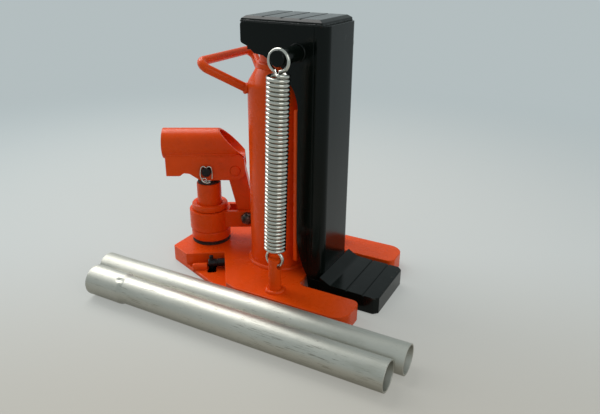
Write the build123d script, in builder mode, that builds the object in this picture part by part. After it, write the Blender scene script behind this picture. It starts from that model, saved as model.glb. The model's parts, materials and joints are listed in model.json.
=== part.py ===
"""Hydraulic toe jack: base plate, cylinder, sliding toe carriage, return springs, lever pump and lever tubes.

Millimetres, +Z up, +X towards the toe. The origin is the ram axis where it meets the ground.
Right means the -Y side, left the +Y side.
"""
import os
from math import atan2, cos, degrees, hypot, pi, radians, sin, sqrt

from build123d import *

os.makedirs("parts", exist_ok=True)

# Clearances, each used wherever that kind of fit occurs
running = 0.06  # round piece turning or sliding in its bore, on the radius
sliding = 0.4  # flat face sliding past a flat face
air = 0.35  # faces that pass each other without a fit

# Base plate
plate_thickness = 16.0
plate_rear_x = -106.5
plate_rear_half = 34.0
arm_width = 33.5
plate_flare_x = -6.0
arm_end_x = 102.0
arm_corner_radius = 14.0
notch_back_x = 41.0
notch_side_gap = 8.3
notch_corner_radius = 7.0

# Recess in the plate for the release valve, turned from X by its own angle
recess_angle = 36.0
recess_corner_x = -52.7
recess_corner_y = -21.4
recess_floor = 4.0
valve_from_wall = 9.6
valve_height = 9.8
valve_radius = 4.0
valve_pin_at = 13.0
valve_pin_radius = 2.0
valve_pin_length = 16.0
valve_pin_slot = 7.0
valve_bore_depth = 26.0
boss_radius = 3.8
boss_start = 17.2
boss_end = 31.5
boss_sink = 1.6

# Cylinder and ram
cylinder_radius = 28.7
bore_radius = 21.0
ram_radius = 17.4
shoulder_height = 187.0
shoulder_rise = 13.5
shoulder_round = 9.0
neck_radius = 20.6
closed_top_thickness = 21.0
wiper_ring_chamfer = 1.4
wiper_ring_height = 4.6
piston_height = 18.0
piston_floor_gap = 4.0
seal_groove_depth = 2.6
seal_groove_width = 5.0

# Carriage: front plate, two side plates, head and toe
carriage_half = 29.7
side_thickness = 7.7
carriage_front_x = 58.5
front_thickness = 11.0
front_corner_radius = 9.0
carriage_bottom = 1.0
head_gap = 11.4
head_thickness = 23.5
head_rear_x = -20.8
head_nose_height = 17.0
throat_reach = 14.0
throat_drop = 11.4
stem_rear_x = 33.2
stem_top_drop = 48.5
stem_foot_height = 60.0
toe_tip_x = 114.7
toe_half = 32.2
toe_top = 18.0
toe_drop = 1.1
toe_root_length = 10.0
toe_root_rise = 5.5
toe_corner = 4.0
pad_height = 4.4
pad_margin = 1.0
pad_bevel = 3.3
pad_bevel_height = 2.2
groove_width = 1.6
groove_depth = 0.8
pad_groove_first_x = -1.5
pad_groove_pitch = 17.2
toe_groove_first_x = 84.0
toe_groove_pitch = 16.0

# Guide rail on the cylinder, and the shoes that run in its grooves
rail_bottom = 31.0
flange_below_shoulder = 15.0
rail_below_shoulder = 5.0
flange_half = 28.5
flange_rear_x = 29.0
rail_front_x = 45.0
saddle_half = 13.0
rail_groove_rear_x = 36.5
rail_groove_width = 6.4
rail_groove_depth = 5.0
shoe_bottom = 42.0
shoe_height = 30.0

# Return springs, their pins on the carriage and their posts on the plate
spring_from_edge = 14.7
spring_foot_x = 28.0
spring_head_x = 33.0
spring_radius = 9.5
spring_wire = 2.8
coil_turns = 44
coil_sides = 12
coil_groove = 1.2
foot_loop_radius = 7.65
foot_loop_height = 47.5
post_radius = 5.7
post_hole_radius = 3.9
pin_radius = 6.3
pin_groove_radius = 4.6
pin_rise = 2.3
pin_end_margin = 3.7
eye_radius = 8.4

# Carrying handle
handle_rod_radius = 3.9
handle_bend_radius = 5.5
handle_foot_x = -24.5
handle_foot_y = 15.0
handle_foot_drop = 5.5
handle_corner_x = -57.0
handle_corner_y = 45.0
handle_rise = 23.8

# Pump on the plate
pump_x = -83.4
gasket_radius = 18.6
gasket_height = 3.5
flange_radius = 19.9
flange_thickness = 10.5
seat_radius = 14.0
ring_outer_radius = 20.8
ring_height = 20.15
collar_radius = 18.0
collar_height = 6.2
barrel_radius = 12.2
barrel_length = 27.65
barrel_wiper_radius = 11.4
barrel_wiper_height = 2.0
plunger_radius = 8.0
plunger_stop_gap = 6.0
chamber_floor = 8.0

# Lever linkage, in the upright plane through the pump axis turned from X by its own angle
linkage_angle = 30.0
pivot_rise = 13.5
fulcrum_reach = 28.0
fulcrum_radius = 5.0
link_foot_reach = 38.5
link_foot_drop = 6.5
link_head_width = 9.3
link_foot_width = 8.2
link_half = 7.6
link_bolt_radius = 4.0
ear_gap = 0.4
ear_thickness = 5.0
ear_height = 17.0
bolt_head_radius = 6.5
bolt_head_height = 4.5
plunger_pin_radius = 4.5
pin_overhang = 5.0
cheek_gap = 0.4
cheek_thickness = 5.0
cheek_drop = 9.8
cheek_end_radius = 9.8
tube_inner_radius = 13.0
tube_wall = 2.0
socket_rise = 24.7
tube_rear = -42.0
tube_front = 37.0
slant_from = 11.7
tongue_half = 7.0
tongue_slot_play = 0.75
tongue_slot_travel = 1.2
tongue_wall = 2.4

# Lever tubes lying in front of the base
lever_radius = 12.5
lever_wall = 1.5
swaged_radius = 13.8
swaged_length = 36.0
swage_taper = 4.0
tube_from_plate = 6.05
front_tube_start_x = -127.0
front_tube_end_x = 157.0
rear_tube_start_x = -138.0
rear_tube_end_x = 163.0

# Values that follow from those above
notch_half = toe_half + notch_side_gap
plate_half = notch_half + arm_width
spring_y = plate_half - spring_from_edge
pin_end_y = spring_y + pin_end_margin
neck_height = shoulder_height + shoulder_rise
head_underside = neck_height + wiper_ring_height + head_gap
carriage_top = head_underside + head_thickness
pin_height = head_underside + pin_rise
flange_top = shoulder_height - flange_below_shoulder
rail_top = shoulder_height - rail_below_shoulder
handle_foot_z = shoulder_height - handle_foot_drop
handle_corner_z = handle_foot_z + handle_rise
flange_height = plate_thickness + gasket_height + flange_thickness
ring_bottom = flange_height + air
ring_top = ring_bottom + ring_height
ear_bottom = ring_top - ear_height
link_foot_height = ring_top - link_foot_drop
side_inner = carriage_half - side_thickness
front_rear_x = carriage_front_x - front_thickness
rail_half = side_inner - sliding
flange_front_x = stem_rear_x - sliding
piston_bottom = plate_thickness + piston_floor_gap
piston_top = piston_bottom + piston_height
closed_bottom = neck_height - closed_top_thickness
collar_bottom = ring_top + air
barrel_top = collar_bottom + barrel_length
pivot_height = barrel_top + barrel_wiper_height + pivot_rise
tube_axis_height = pivot_height + socket_rise
tube_outer_radius = tube_inner_radius + tube_wall
cheek_bottom = pivot_height - cheek_drop
pump_chamber_bottom = plate_thickness + chamber_floor
plunger_bottom = pump_chamber_bottom + plunger_stop_gap
slant_offset = slant_from + tube_axis_height + tube_outer_radius
cheek_inner = link_half + cheek_gap
cheek_outer = cheek_inner + cheek_thickness
ear_inner = link_half + ear_gap
ear_outer = ear_inner + ear_thickness
seal_height = piston_bottom + 7.0
tongue_bottom = cheek_bottom - sliding
eye_height = pin_height + pin_groove_radius + air - eye_radius + spring_wire / 2
coil_top = eye_height - eye_radius + spring_wire / 5
coil_bottom = foot_loop_height + foot_loop_radius - spring_wire / 5
rear_tube_y = -(plate_half + tube_from_plate + lever_radius)
front_tube_y = rear_tube_y - swaged_radius - lever_radius - air

linkage_plane = Plane(
    origin=(pump_x, 0, 0),
    x_dir=(cos(radians(linkage_angle)), sin(radians(linkage_angle)), 0),
    z_dir=(sin(radians(linkage_angle)), -cos(radians(linkage_angle)), 0),
)


def recess_point(along, out):
    """Plan point measured along the recess wall (towards the rear) and out from it."""
    c, s = cos(radians(recess_angle)), sin(radians(recess_angle))
    return (recess_corner_x - along * c + out * s, recess_corner_y - along * s - out * c)


def valve_plane(along):
    """Plane across the valve axis, facing towards the rear of the recess."""
    c, s = cos(radians(recess_angle)), sin(radians(recess_angle))
    x, y = recess_point(along, valve_from_wall)
    return Plane(origin=(x, y, valve_height), x_dir=(s, -c, 0), z_dir=(-c, -s, 0))


# Base plate with the toe notch between two arms and the valve recess in its right side
with BuildPart() as base_plate:
    with BuildSketch() as plan:
        with BuildLine():
            Polyline(
                (plate_rear_x, -plate_rear_half),
                (plate_flare_x, -plate_half),
                (arm_end_x, -plate_half),
                (arm_end_x, -notch_half),
                (notch_back_x, -notch_half),
                (notch_back_x, notch_half),
                (arm_end_x, notch_half),
                (arm_end_x, plate_half),
                (plate_flare_x, plate_half),
                (plate_rear_x, plate_rear_half),
                close=True,
            )
        make_face()
        corners = plan.vertices()
        fillet([v for v in corners if v.X > notch_back_x + 1 and abs(v.Y) > notch_half + 1], arm_corner_radius)
        corners = plan.vertices()
        fillet([v for v in corners if abs(v.X - notch_back_x) < 0.1 or (
            abs(v.X - arm_end_x) < 0.1 and abs(abs(v.Y) - notch_half) < 0.1)], notch_corner_radius)
        corners = plan.vertices()
        fillet([v for v in corners if abs(v.X - plate_flare_x) < 0.1], arm_corner_radius)
        fillet([v for v in plan.vertices() if abs(v.X - plate_rear_x) < 0.1], pad_bevel)
    extrude(amount=plate_thickness)
    with BuildSketch(Plane.XY.offset(recess_floor)):
        with BuildLine():
            Polyline(
                recess_point(0, 0),
                recess_point(2 * plate_rear_half, 0),
                recess_point(2 * plate_rear_half, plate_half),
                recess_point(0, plate_half),
                close=True,
            )
        make_face()
    extrude(amount=plate_thickness, mode=Mode.SUBTRACT)
    pin_slot_reach = valve_pin_length / 2 + air
    with BuildSketch():
        with BuildLine():
            Polyline(
                recess_point(valve_pin_at - valve_pin_slot / 2, valve_from_wall - pin_slot_reach),
                recess_point(valve_pin_at + valve_pin_slot / 2, valve_from_wall - pin_slot_reach),
                recess_point(valve_pin_at + valve_pin_slot / 2, valve_from_wall + pin_slot_reach),
                recess_point(valve_pin_at - valve_pin_slot / 2, valve_from_wall + pin_slot_reach),
                close=True,
            )
        make_face()
    extrude(amount=recess_floor, mode=Mode.SUBTRACT)
    boss_start_plane = valve_plane(boss_start)
    boss_start_plane.origin = (*recess_point(boss_start, valve_from_wall), recess_floor + boss_radius - boss_sink)
    with BuildSketch(boss_start_plane):
        Circle(boss_radius)
    extrude(amount=boss_end - boss_start)
    with BuildSketch(valve_plane(0)):
        Circle(valve_radius + running)
    extrude(amount=-valve_bore_depth, mode=Mode.SUBTRACT)
base_plate.part.label = "base_plate"
export_step(base_plate.part, "parts/base_plate.step")

# Cylinder closed at the top by its own tapered shoulder, open below onto the plate
with BuildPart() as cylinder_body:
    with BuildSketch(Plane.XZ) as half_section:
        with BuildLine():
            Polyline(
                (bore_radius, plate_thickness),
                (cylinder_radius, plate_thickness),
                (cylinder_radius, shoulder_height),
                (neck_radius, neck_height),
                (ram_radius + running, neck_height),
                (ram_radius + running, closed_bottom),
                (bore_radius, closed_bottom),
                close=True,
            )
        make_face()
        fillet([v for v in half_section.vertices() if abs(v.X - cylinder_radius) < 0.1 and v.Y > closed_bottom],
               shoulder_round)
    revolve(axis=Axis.Z)
cylinder_body.part.label = "cylinder_body"
export_step(cylinder_body.part, "parts/cylinder_body.step")

# Ring that holds the rod seal on top of the neck
with BuildPart() as wiper_ring:
    with BuildSketch(Plane.XZ) as half_section:
        with BuildLine():
            Polyline(
                (ram_radius + running, neck_height),
                (neck_radius, neck_height),
                (neck_radius, neck_height + wiper_ring_height),
                (ram_radius + running, neck_height + wiper_ring_height),
                close=True,
            )
        make_face()
        chamfer([v for v in half_section.vertices() if v.X > neck_radius - 0.1 and v.Y > neck_height + 1],
                wiper_ring_chamfer)
    revolve(axis=Axis.Z)
wiper_ring.part.label = "wiper_ring"
export_step(wiper_ring.part, "parts/wiper_ring.step")

# Grooved rail with a wide flange, seated on the front of the cylinder by a hollow saddle
with BuildPart() as guide_rail:
    with BuildSketch(Plane.XY.offset(rail_bottom)):
        with BuildLine():
            Polyline(
                (flange_rear_x, -flange_half),
                (flange_front_x, -flange_half),
                (flange_front_x, flange_half),
                (flange_rear_x, flange_half),
                close=True,
            )
        make_face()
    extrude(amount=flange_top - rail_bottom)
    with BuildSketch(Plane.XY.offset(rail_bottom)):
        with BuildLine():
            Polyline(
                (bore_radius, -saddle_half),
                (flange_front_x, -saddle_half),
                (flange_front_x, -rail_half),
                (rail_front_x, -rail_half),
                (rail_front_x, rail_half),
                (flange_front_x, rail_half),
                (flange_front_x, saddle_half),
                (bore_radius, saddle_half),
                close=True,
            )
        make_face()
        Circle(cylinder_radius, mode=Mode.SUBTRACT)
    extrude(amount=rail_top - rail_bottom)
    for side in (-1, 1):
        with BuildSketch(Plane.XY.offset(rail_bottom)):
            with BuildLine():
                Polyline(
                    (rail_groove_rear_x, side * (rail_half - rail_groove_depth)),
                    (rail_groove_rear_x + rail_groove_width, side * (rail_half - rail_groove_depth)),
                    (rail_groove_rear_x + rail_groove_width, side * (rail_half + rail_groove_depth)),
                    (rail_groove_rear_x, side * (rail_half + rail_groove_depth)),
                    close=True,
                )
            make_face()
        extrude(amount=rail_top - rail_bottom, mode=Mode.SUBTRACT)
guide_rail.part.label = "guide_rail"
export_step(guide_rail.part, "parts/guide_rail.step")

# Bent rod handle whose two ends are cut to the cylinder
with BuildPart() as carrying_handle:
    reach = 1 - cylinder_radius / (handle_corner_x * -2)
    inner_x = handle_foot_x + (handle_foot_x - handle_corner_x) * reach / 2
    inner_y = handle_foot_y + (handle_foot_y - handle_corner_y) * reach / 2
    inner_z = handle_foot_z + (handle_foot_z - handle_corner_z) * reach / 2
    with BuildLine() as rod_line:
        FilletPolyline(
            (inner_x, -inner_y, inner_z),
            (handle_corner_x, -handle_corner_y, handle_corner_z),
            (handle_corner_x, handle_corner_y, handle_corner_z),
            (inner_x, inner_y, inner_z),
            radius=handle_bend_radius,
        )
    with BuildSketch(Plane(origin=rod_line.line @ 0, z_dir=rod_line.line % 0)):
        RegularPolygon(handle_rod_radius, 16)
    sweep(path=rod_line.line)
    with BuildSketch(Plane.XY.offset(inner_z - cylinder_radius)):
        Circle(cylinder_radius)
    extrude(amount=2 * cylinder_radius, mode=Mode.SUBTRACT)
carrying_handle.part.label = "carrying_handle"
export_step(carrying_handle.part, "parts/carrying_handle.step")

# Two drilled posts for the lower spring hooks
for side, name in ((-1, "spring_post_right"), (1, "spring_post_left")):
    post_hole_height = foot_loop_height - foot_loop_radius - spring_wire / 2 - sliding + post_hole_radius
    with BuildPart() as spring_post:
        with BuildSketch(Plane(origin=(spring_foot_x, side * spring_y, plate_thickness))):
            Circle(post_radius)
        extrude(amount=post_hole_height + post_hole_radius + sliding * 5 - plate_thickness)
        with BuildSketch(Plane(origin=(spring_foot_x, side * spring_y, post_hole_height), z_dir=(1, 0, 0))):
            Circle(post_hole_radius)
        extrude(amount=post_radius + 1, both=True, mode=Mode.SUBTRACT)
    spring_post.part.label = name
    export_step(spring_post.part, f"parts/{name}.step")

# Pump body: spigot, flange, round seat for the clamp ring and barrel
with BuildPart() as pump_body:
    with BuildSketch(Plane(origin=(pump_x, 0, 0), x_dir=(1, 0, 0), z_dir=(0, -1, 0))):
        with BuildLine():
            Polyline(
                (0, plate_thickness),
                (seat_radius, plate_thickness),
                (seat_radius, plate_thickness + gasket_height),
                (flange_radius, plate_thickness + gasket_height),
                (flange_radius, flange_height),
                (seat_radius, flange_height),
                (seat_radius, collar_bottom),
                (barrel_radius, collar_bottom),
                (barrel_radius, barrel_top),
                (plunger_radius, barrel_top),
                (plunger_radius, pump_chamber_bottom),
                (0, pump_chamber_bottom),
                close=True,
            )
        make_face()
    revolve(axis=Axis((pump_x, 0, 0), (0, 0, 1)))
pump_body.part.label = "pump_body"
export_step(pump_body.part, "parts/pump_body.step")

# Plain rings around the pump axis: gasket, retaining collar, barrel wiper
for name, inner, outer, bottom, top in (
    ("pump_gasket", seat_radius, gasket_radius, plate_thickness, plate_thickness + gasket_height),
    ("retaining_collar", barrel_radius, collar_radius, collar_bottom, collar_bottom + collar_height),
    ("barrel_wiper", plunger_radius + running / 2, barrel_wiper_radius, barrel_top, barrel_top + barrel_wiper_height),
):
    with BuildPart() as pump_ring:
        with BuildSketch(Plane(origin=(pump_x, 0, bottom))):
            Circle(outer)
            Circle(inner, mode=Mode.SUBTRACT)
        extrude(amount=top - bottom)
        if name == "retaining_collar":
            chamfer(pump_ring.edges().filter_by(GeomType.CIRCLE).sort_by(Axis.Z)[-2:].sort_by(SortBy.RADIUS)[-1:],
                    ear_gap * 2)
    pump_ring.part.label = name
    export_step(pump_ring.part, f"parts/{name}.step")

# Front plate of the carriage with rounded outer corners
with BuildPart() as front_plate:
    with BuildSketch(Plane.XY.offset(toe_top)) as plan:
        with BuildLine():
            Polyline(
                (front_rear_x, -carriage_half),
                (carriage_front_x, -carriage_half),
                (carriage_front_x, carriage_half),
                (front_rear_x, carriage_half),
                close=True,
            )
        make_face()
        fillet([v for v in plan.vertices() if v.X > front_rear_x + 1], front_corner_radius)
    extrude(amount=carriage_top - toe_top)
front_plate.part.label = "front_plate"
export_step(front_plate.part, "parts/front_plate.step")

# Side plates: head above the ram, hollow throat, straight stem and rounded lower rear corner
for side, name in ((-1, "side_plate_right"), (1, "side_plate_left")):
    with BuildPart() as side_plate:
        with BuildSketch(Plane(origin=(0, side * side_inner, 0), x_dir=(1, 0, 0), z_dir=(0, -1, 0))) as profile:
            with BuildLine():
                stem_top = head_underside - stem_top_drop
                throat_x = stem_rear_x - throat_reach
                nose_x = head_rear_x + 13.2
                heel_x = front_rear_x - 3.9
                Line((stem_rear_x, stem_foot_height), (stem_rear_x, stem_top))
                ThreePointArc((stem_rear_x, stem_top), (stem_rear_x - 2.0, stem_top + 15.8),
                              (stem_rear_x - 7.2, stem_top + 25.6))
                Polyline(
                    (stem_rear_x - 7.2, stem_top + 25.6),
                    (throat_x, head_underside - throat_drop),
                    (throat_x - 10.8, head_underside - throat_drop + 4.5),
                    (throat_x - 18.6, head_underside - throat_drop + 9.1),
                    (nose_x, head_underside - throat_drop + 9.9),
                    (nose_x - 4.0, head_underside - throat_drop + 13.3),
                    (nose_x - 7.8, head_underside - throat_drop + 15.9),
                    (head_rear_x, carriage_top - head_nose_height),
                    (head_rear_x, carriage_top),
                    (front_rear_x, carriage_top),
                    (front_rear_x, carriage_bottom),
                    (front_rear_x - 0.5, carriage_bottom),
                    (heel_x, carriage_bottom + 19.4),
                )
                ThreePointArc((heel_x, carriage_bottom + 19.4), (heel_x - 6.8, carriage_bottom + 35.5),
                              (stem_rear_x, stem_foot_height))
            make_face()
            fillet([v for v in profile.vertices() if abs(v.X - head_rear_x) < 0.1], 3.0)
            fillet([v for v in profile.vertices() if abs(v.X - throat_x) < 0.1], 4.0)
            fillet([v for v in profile.vertices() if abs(v.X - nose_x) < 0.1 or abs(v.X - throat_x + 18.6) < 0.1], 4.0)
        extrude(amount=-side * side_thickness)
    side_plate.part.label = name
    export_step(side_plate.part, f"parts/{name}.step")

# Head block that the ram pushes on, between the side plates
with BuildPart() as head_block:
    with BuildSketch(Plane.XY.offset(head_underside)):
        with BuildLine():
            Polyline(
                (head_rear_x + sliding * 4, -side_inner),
                (front_rear_x, -side_inner),
                (front_rear_x, side_inner),
                (head_rear_x + sliding * 4, side_inner),
                close=True,
            )
        make_face()
    extrude(amount=carriage_top - head_underside)
head_block.part.label = "head_block"
export_step(head_block.part, "parts/head_block.step")

# Grooved bearing pad on top of the head
with BuildPart() as top_pad:
    with BuildSketch(Plane.XY.offset(carriage_top)):
        with BuildLine():
            Polyline(
                (head_rear_x + sliding, -carriage_half + pad_margin),
                (carriage_front_x - front_corner_radius / 2, -carriage_half + pad_margin),
                (carriage_front_x - front_corner_radius / 2, carriage_half - pad_margin),
                (head_rear_x + sliding, carriage_half - pad_margin),
                close=True,
            )
        make_face()
    extrude(amount=pad_height)
    chamfer(top_pad.faces().sort_by(Axis.Z)[-1].edges(), length=pad_bevel, length2=pad_bevel_height,
            reference=top_pad.faces().sort_by(Axis.Z)[-1])
    for index in range(3):
        groove_x = pad_groove_first_x + index * pad_groove_pitch
        with BuildSketch(Plane.XY.offset(carriage_top + pad_height - groove_depth)):
            with BuildLine():
                Polyline(
                    (groove_x, -carriage_half),
                    (groove_x + groove_width, -carriage_half),
                    (groove_x + groove_width, carriage_half),
                    (groove_x, carriage_half),
                    close=True,
                )
            make_face()
        extrude(amount=pad_height, mode=Mode.SUBTRACT)
top_pad.part.label = "top_pad"
export_step(top_pad.part, "parts/top_pad.step")

# Toe: thick lifting lip with a raised root, running back under the front plate
with BuildPart() as toe_plate:
    with BuildSketch(Plane.XY.offset(carriage_bottom)) as plan:
        with BuildLine():
            Polyline(
                (front_rear_x, -carriage_half),
                (carriage_front_x, -carriage_half),
                (carriage_front_x, -toe_half),
                (toe_tip_x, -toe_half),
                (toe_tip_x, toe_half),
                (carriage_front_x, toe_half),
                (carriage_front_x, carriage_half),
                (front_rear_x, carriage_half),
                close=True,
            )
        make_face()
        chamfer([v for v in plan.vertices() if v.X > toe_tip_x - 0.1], toe_corner)
    extrude(amount=toe_top + toe_root_rise)
    with BuildSketch(Plane.XZ) as profile:
        with BuildLine():
            Polyline(
                (front_rear_x, carriage_bottom),
                (toe_tip_x, carriage_bottom),
                (toe_tip_x, toe_top - toe_drop),
                (carriage_front_x + toe_root_length, toe_top),
                (carriage_front_x, toe_top + toe_root_rise),
                (carriage_front_x, toe_top),
                (front_rear_x, toe_top),
                close=True,
            )
        make_face()
        fillet([v for v in profile.vertices() if abs(v.X - toe_tip_x) < 0.1 and v.Y > toe_top - toe_drop - 0.1], 1.2)
        fillet([v for v in profile.vertices() if abs(v.X - carriage_front_x - toe_root_length) < 0.1], 8.0)
    extrude(amount=toe_half * 2, both=True, mode=Mode.INTERSECT)
    for index in range(2):
        groove_x = toe_groove_first_x + index * toe_groove_pitch
        with BuildSketch(Plane.XY.offset(toe_top - toe_drop * (groove_x - carriage_front_x)
                                         / (toe_tip_x - carriage_front_x) - groove_depth)):
            with BuildLine():
                Polyline(
                    (groove_x, -toe_half - 1),
                    (groove_x + groove_width, -toe_half - 1),
                    (groove_x + groove_width, toe_half + 1),
                    (groove_x, toe_half + 1),
                    close=True,
                )
            make_face()
        extrude(amount=toe_top, mode=Mode.SUBTRACT)
toe_plate.part.label = "toe_plate"
export_step(toe_plate.part, "parts/toe_plate.step")

# Pins for the upper spring eyes, each with a shallow groove
for side, name in ((-1, "spring_pin_right"), (1, "spring_pin_left")):
    with BuildPart() as spring_pin:
        with BuildSketch(Plane(origin=(spring_head_x, side * carriage_half, pin_height), z_dir=(0, side, 0))):
            Circle(pin_radius)
        extrude(amount=pin_end_y - carriage_half)
        chamfer(spring_pin.edges().filter_by(GeomType.CIRCLE).sort_by(Axis.Y)[0 if side < 0 else -1], 0.8)
        with BuildSketch(Plane(origin=(spring_head_x, side * (spring_y - spring_wire / 2 - sliding), pin_height),
                               z_dir=(0, side, 0))):
            Circle(pin_radius + 1)
            Circle(pin_groove_radius, mode=Mode.SUBTRACT)
        extrude(amount=spring_wire + 2 * sliding, mode=Mode.SUBTRACT)
    spring_pin.part.label = name
    export_step(spring_pin.part, f"parts/{name}.step")

# Shoes on the inside of the side plates that run in the rail grooves
for side, name in ((-1, "guide_shoe_right"), (1, "guide_shoe_left")):
    with BuildPart() as guide_shoe:
        with BuildSketch(Plane.XY.offset(shoe_bottom)):
            with BuildLine():
                Polyline(
                    (rail_groove_rear_x + sliding, side * (rail_half - rail_groove_depth + sliding)),
                    (rail_groove_rear_x + rail_groove_width - sliding, side * (rail_half - rail_groove_depth + sliding)),
                    (rail_groove_rear_x + rail_groove_width - sliding, side * side_inner),
                    (rail_groove_rear_x + sliding, side * side_inner),
                    close=True,
                )
            make_face()
        extrude(amount=shoe_height)
    guide_shoe.part.label = name
    export_step(guide_shoe.part, f"parts/{name}.step")

# Ram standing on its piston and carrying the head block
with BuildPart() as ram:
    with BuildSketch(Plane.XY.offset(piston_top)):
        Circle(ram_radius)
    extrude(amount=head_underside - piston_top)
    chamfer(ram.edges().filter_by(GeomType.CIRCLE).sort_by(Axis.Z)[-1], 1.0)
ram.part.label = "ram"
export_step(ram.part, "parts/ram.step")

with BuildPart() as ram_piston:
    with BuildSketch(Plane.XY.offset(piston_bottom)):
        Circle(bore_radius - running)
    extrude(amount=piston_height)
    with BuildSketch(Plane.XY.offset(seal_height)):
        Circle(bore_radius)
        Circle(bore_radius - seal_groove_depth, mode=Mode.SUBTRACT)
    extrude(amount=seal_groove_width, mode=Mode.SUBTRACT)
ram_piston.part.label = "ram_piston"
export_step(ram_piston.part, "parts/ram_piston.step")

with BuildPart() as piston_seal:
    with BuildSketch(Plane.XY.offset(seal_height)):
        Circle(bore_radius - running / 2)
        Circle(bore_radius - seal_groove_depth, mode=Mode.SUBTRACT)
    extrude(amount=seal_groove_width)
piston_seal.part.label = "piston_seal"
export_step(piston_seal.part, "parts/piston_seal.step")

# Return springs: close coil drawn as a many-sided sleeve with one ridge for each turn, full eye above, loop below
spring_lean = atan2(spring_head_x - spring_foot_x, eye_height - foot_loop_height)
along_x = (coil_bottom - foot_loop_height) * sin(spring_lean) / cos(spring_lean)
coil_plane = Plane(origin=(spring_foot_x + along_x, -spring_y, coil_bottom),
                   x_dir=(cos(spring_lean), 0, -sin(spring_lean)),
                   z_dir=(sin(spring_lean), 0, cos(spring_lean)))
coil_length = (coil_top - coil_bottom) / cos(spring_lean)
ridge_rings, bore_rings, coil_faces = [], [], []
for half_turn in range(2 * coil_turns + 1):
    reach = spring_radius - coil_groove * (1 - half_turn % 2)
    ridge_rings.append([
        coil_plane.from_local_coords(Vector(reach * cos(2 * pi * corner / coil_sides),
                                            reach * sin(2 * pi * corner / coil_sides),
                                            coil_length * half_turn / (2 * coil_turns)))
        for corner in range(coil_sides)
    ])
for height in (0, coil_length):
    bore_rings.append([
        coil_plane.from_local_coords(Vector((spring_radius - spring_wire) * cos(2 * pi * corner / coil_sides),
                                            (spring_radius - spring_wire) * sin(2 * pi * corner / coil_sides), height))
        for corner in range(coil_sides)
    ])
for rings in (ridge_rings, bore_rings):
    for lower, upper in zip(rings, rings[1:]):
        for corner in range(coil_sides):
            after = (corner + 1) % coil_sides
            coil_faces.append(Face(Wire.make_polygon(
                [lower[corner], lower[after], upper[after], upper[corner]], close=True)))
for outer_ring, bore_ring in zip((ridge_rings[0], ridge_rings[-1]), bore_rings):
    coil_faces.append(Face(Wire.make_polygon(outer_ring, close=True), [Wire.make_polygon(bore_ring, close=True)]))
with BuildPart() as return_spring:
    # the end turns cross the coil's middle before they open into the loops
    for height in (spring_wire * 0.7, coil_length - spring_wire * 0.7):
        across = coil_plane.offset(height)
        with BuildSketch(Plane(origin=across.origin - across.x_dir * (spring_radius - spring_wire / 2),
                               z_dir=across.x_dir)):
            Circle(spring_wire / 2)
        extrude(amount=2 * spring_radius - spring_wire)
    for centre_x, centre_z, loop_radius in (
        (spring_head_x, eye_height, eye_radius),
        (spring_foot_x, foot_loop_height, foot_loop_radius),
    ):
        with BuildSketch(Plane(origin=(centre_x + loop_radius, -spring_y, centre_z),
                               x_dir=(1, 0, 0), z_dir=(0, 0, 1))):
            RegularPolygon(spring_wire / 2, 8)
        revolve(axis=Axis((centre_x, -spring_y, centre_z), (0, 1, 0)))
    add(Solid(Shell(coil_faces)))
for spring, name in (
    (return_spring.part, "return_spring_right"),
    (mirror(return_spring.part, about=Plane.XZ), "return_spring_left"),
):
    spring.label = name
    export_step(spring, f"parts/{name}.step")

# Clamp ring that turns on the pump seat, with two ears for the link
with BuildPart() as clamp_ring:
    with BuildSketch(Plane(origin=(pump_x, 0, ring_bottom))):
        Circle(ring_outer_radius)
    extrude(amount=ring_top - ring_bottom)
    for ear_side in (-1, 1):
        with BuildSketch(linkage_plane.offset(ear_side * ear_inner)) as ear:
            with BuildLine():
                Polyline(
                    (0, ear_bottom),
                    (link_foot_reach + link_foot_width, ear_bottom),
                    (link_foot_reach + link_foot_width, ring_top),
                    (0, ring_top),
                    close=True,
                )
            make_face()
            fillet([v for v in ear.vertices() if v.X > link_foot_reach], link_foot_width / 2)
        extrude(amount=ear_side * ear_thickness)
    with BuildSketch(Plane(origin=(pump_x, 0, ring_bottom))):
        Circle(seat_radius + running)
    extrude(amount=ring_top, mode=Mode.SUBTRACT)
    with BuildSketch(linkage_plane.offset(-ear_outer)):
        with BuildLine():
            CenterArc((link_foot_reach, link_foot_height), link_bolt_radius + running, 0, 360)
        make_face()
    extrude(amount=2 * ear_outer, mode=Mode.SUBTRACT)
clamp_ring.part.label = "clamp_ring"
export_step(clamp_ring.part, "parts/clamp_ring.step")

# Bolt through the ears with its nut on the far side
with BuildPart() as link_bolt:
    with BuildSketch(linkage_plane.offset(-ear_outer - bolt_head_height - 2)):
        with BuildLine():
            CenterArc((link_foot_reach, link_foot_height), link_bolt_radius, 0, 360)
        make_face()
    extrude(amount=2 * ear_outer + bolt_head_height + 2)
    with BuildSketch(linkage_plane.offset(ear_outer)):
        with BuildLine():
            Polyline(*[(link_foot_reach + bolt_head_radius * cos(radians(60 * k + 12)),
                        link_foot_height + bolt_head_radius * sin(radians(60 * k + 12))) for k in range(6)], close=True)
        make_face()
    extrude(amount=bolt_head_height)
link_bolt.part.label = "link_bolt"
export_step(link_bolt.part, "parts/link_bolt.step")

with BuildPart() as link_nut:
    with BuildSketch(linkage_plane.offset(-ear_outer - bolt_head_height)):
        with BuildLine():
            Polyline(*[(link_foot_reach + bolt_head_radius * cos(radians(60 * k)),
                        link_foot_height + bolt_head_radius * sin(radians(60 * k))) for k in range(6)], close=True)
        make_face()
        with BuildLine():
            CenterArc((link_foot_reach, link_foot_height), link_bolt_radius, 0, 360)
        make_face(mode=Mode.SUBTRACT)
    extrude(amount=bolt_head_height)
link_nut.part.label = "link_nut"
export_step(link_nut.part, "parts/link_nut.step")

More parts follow.
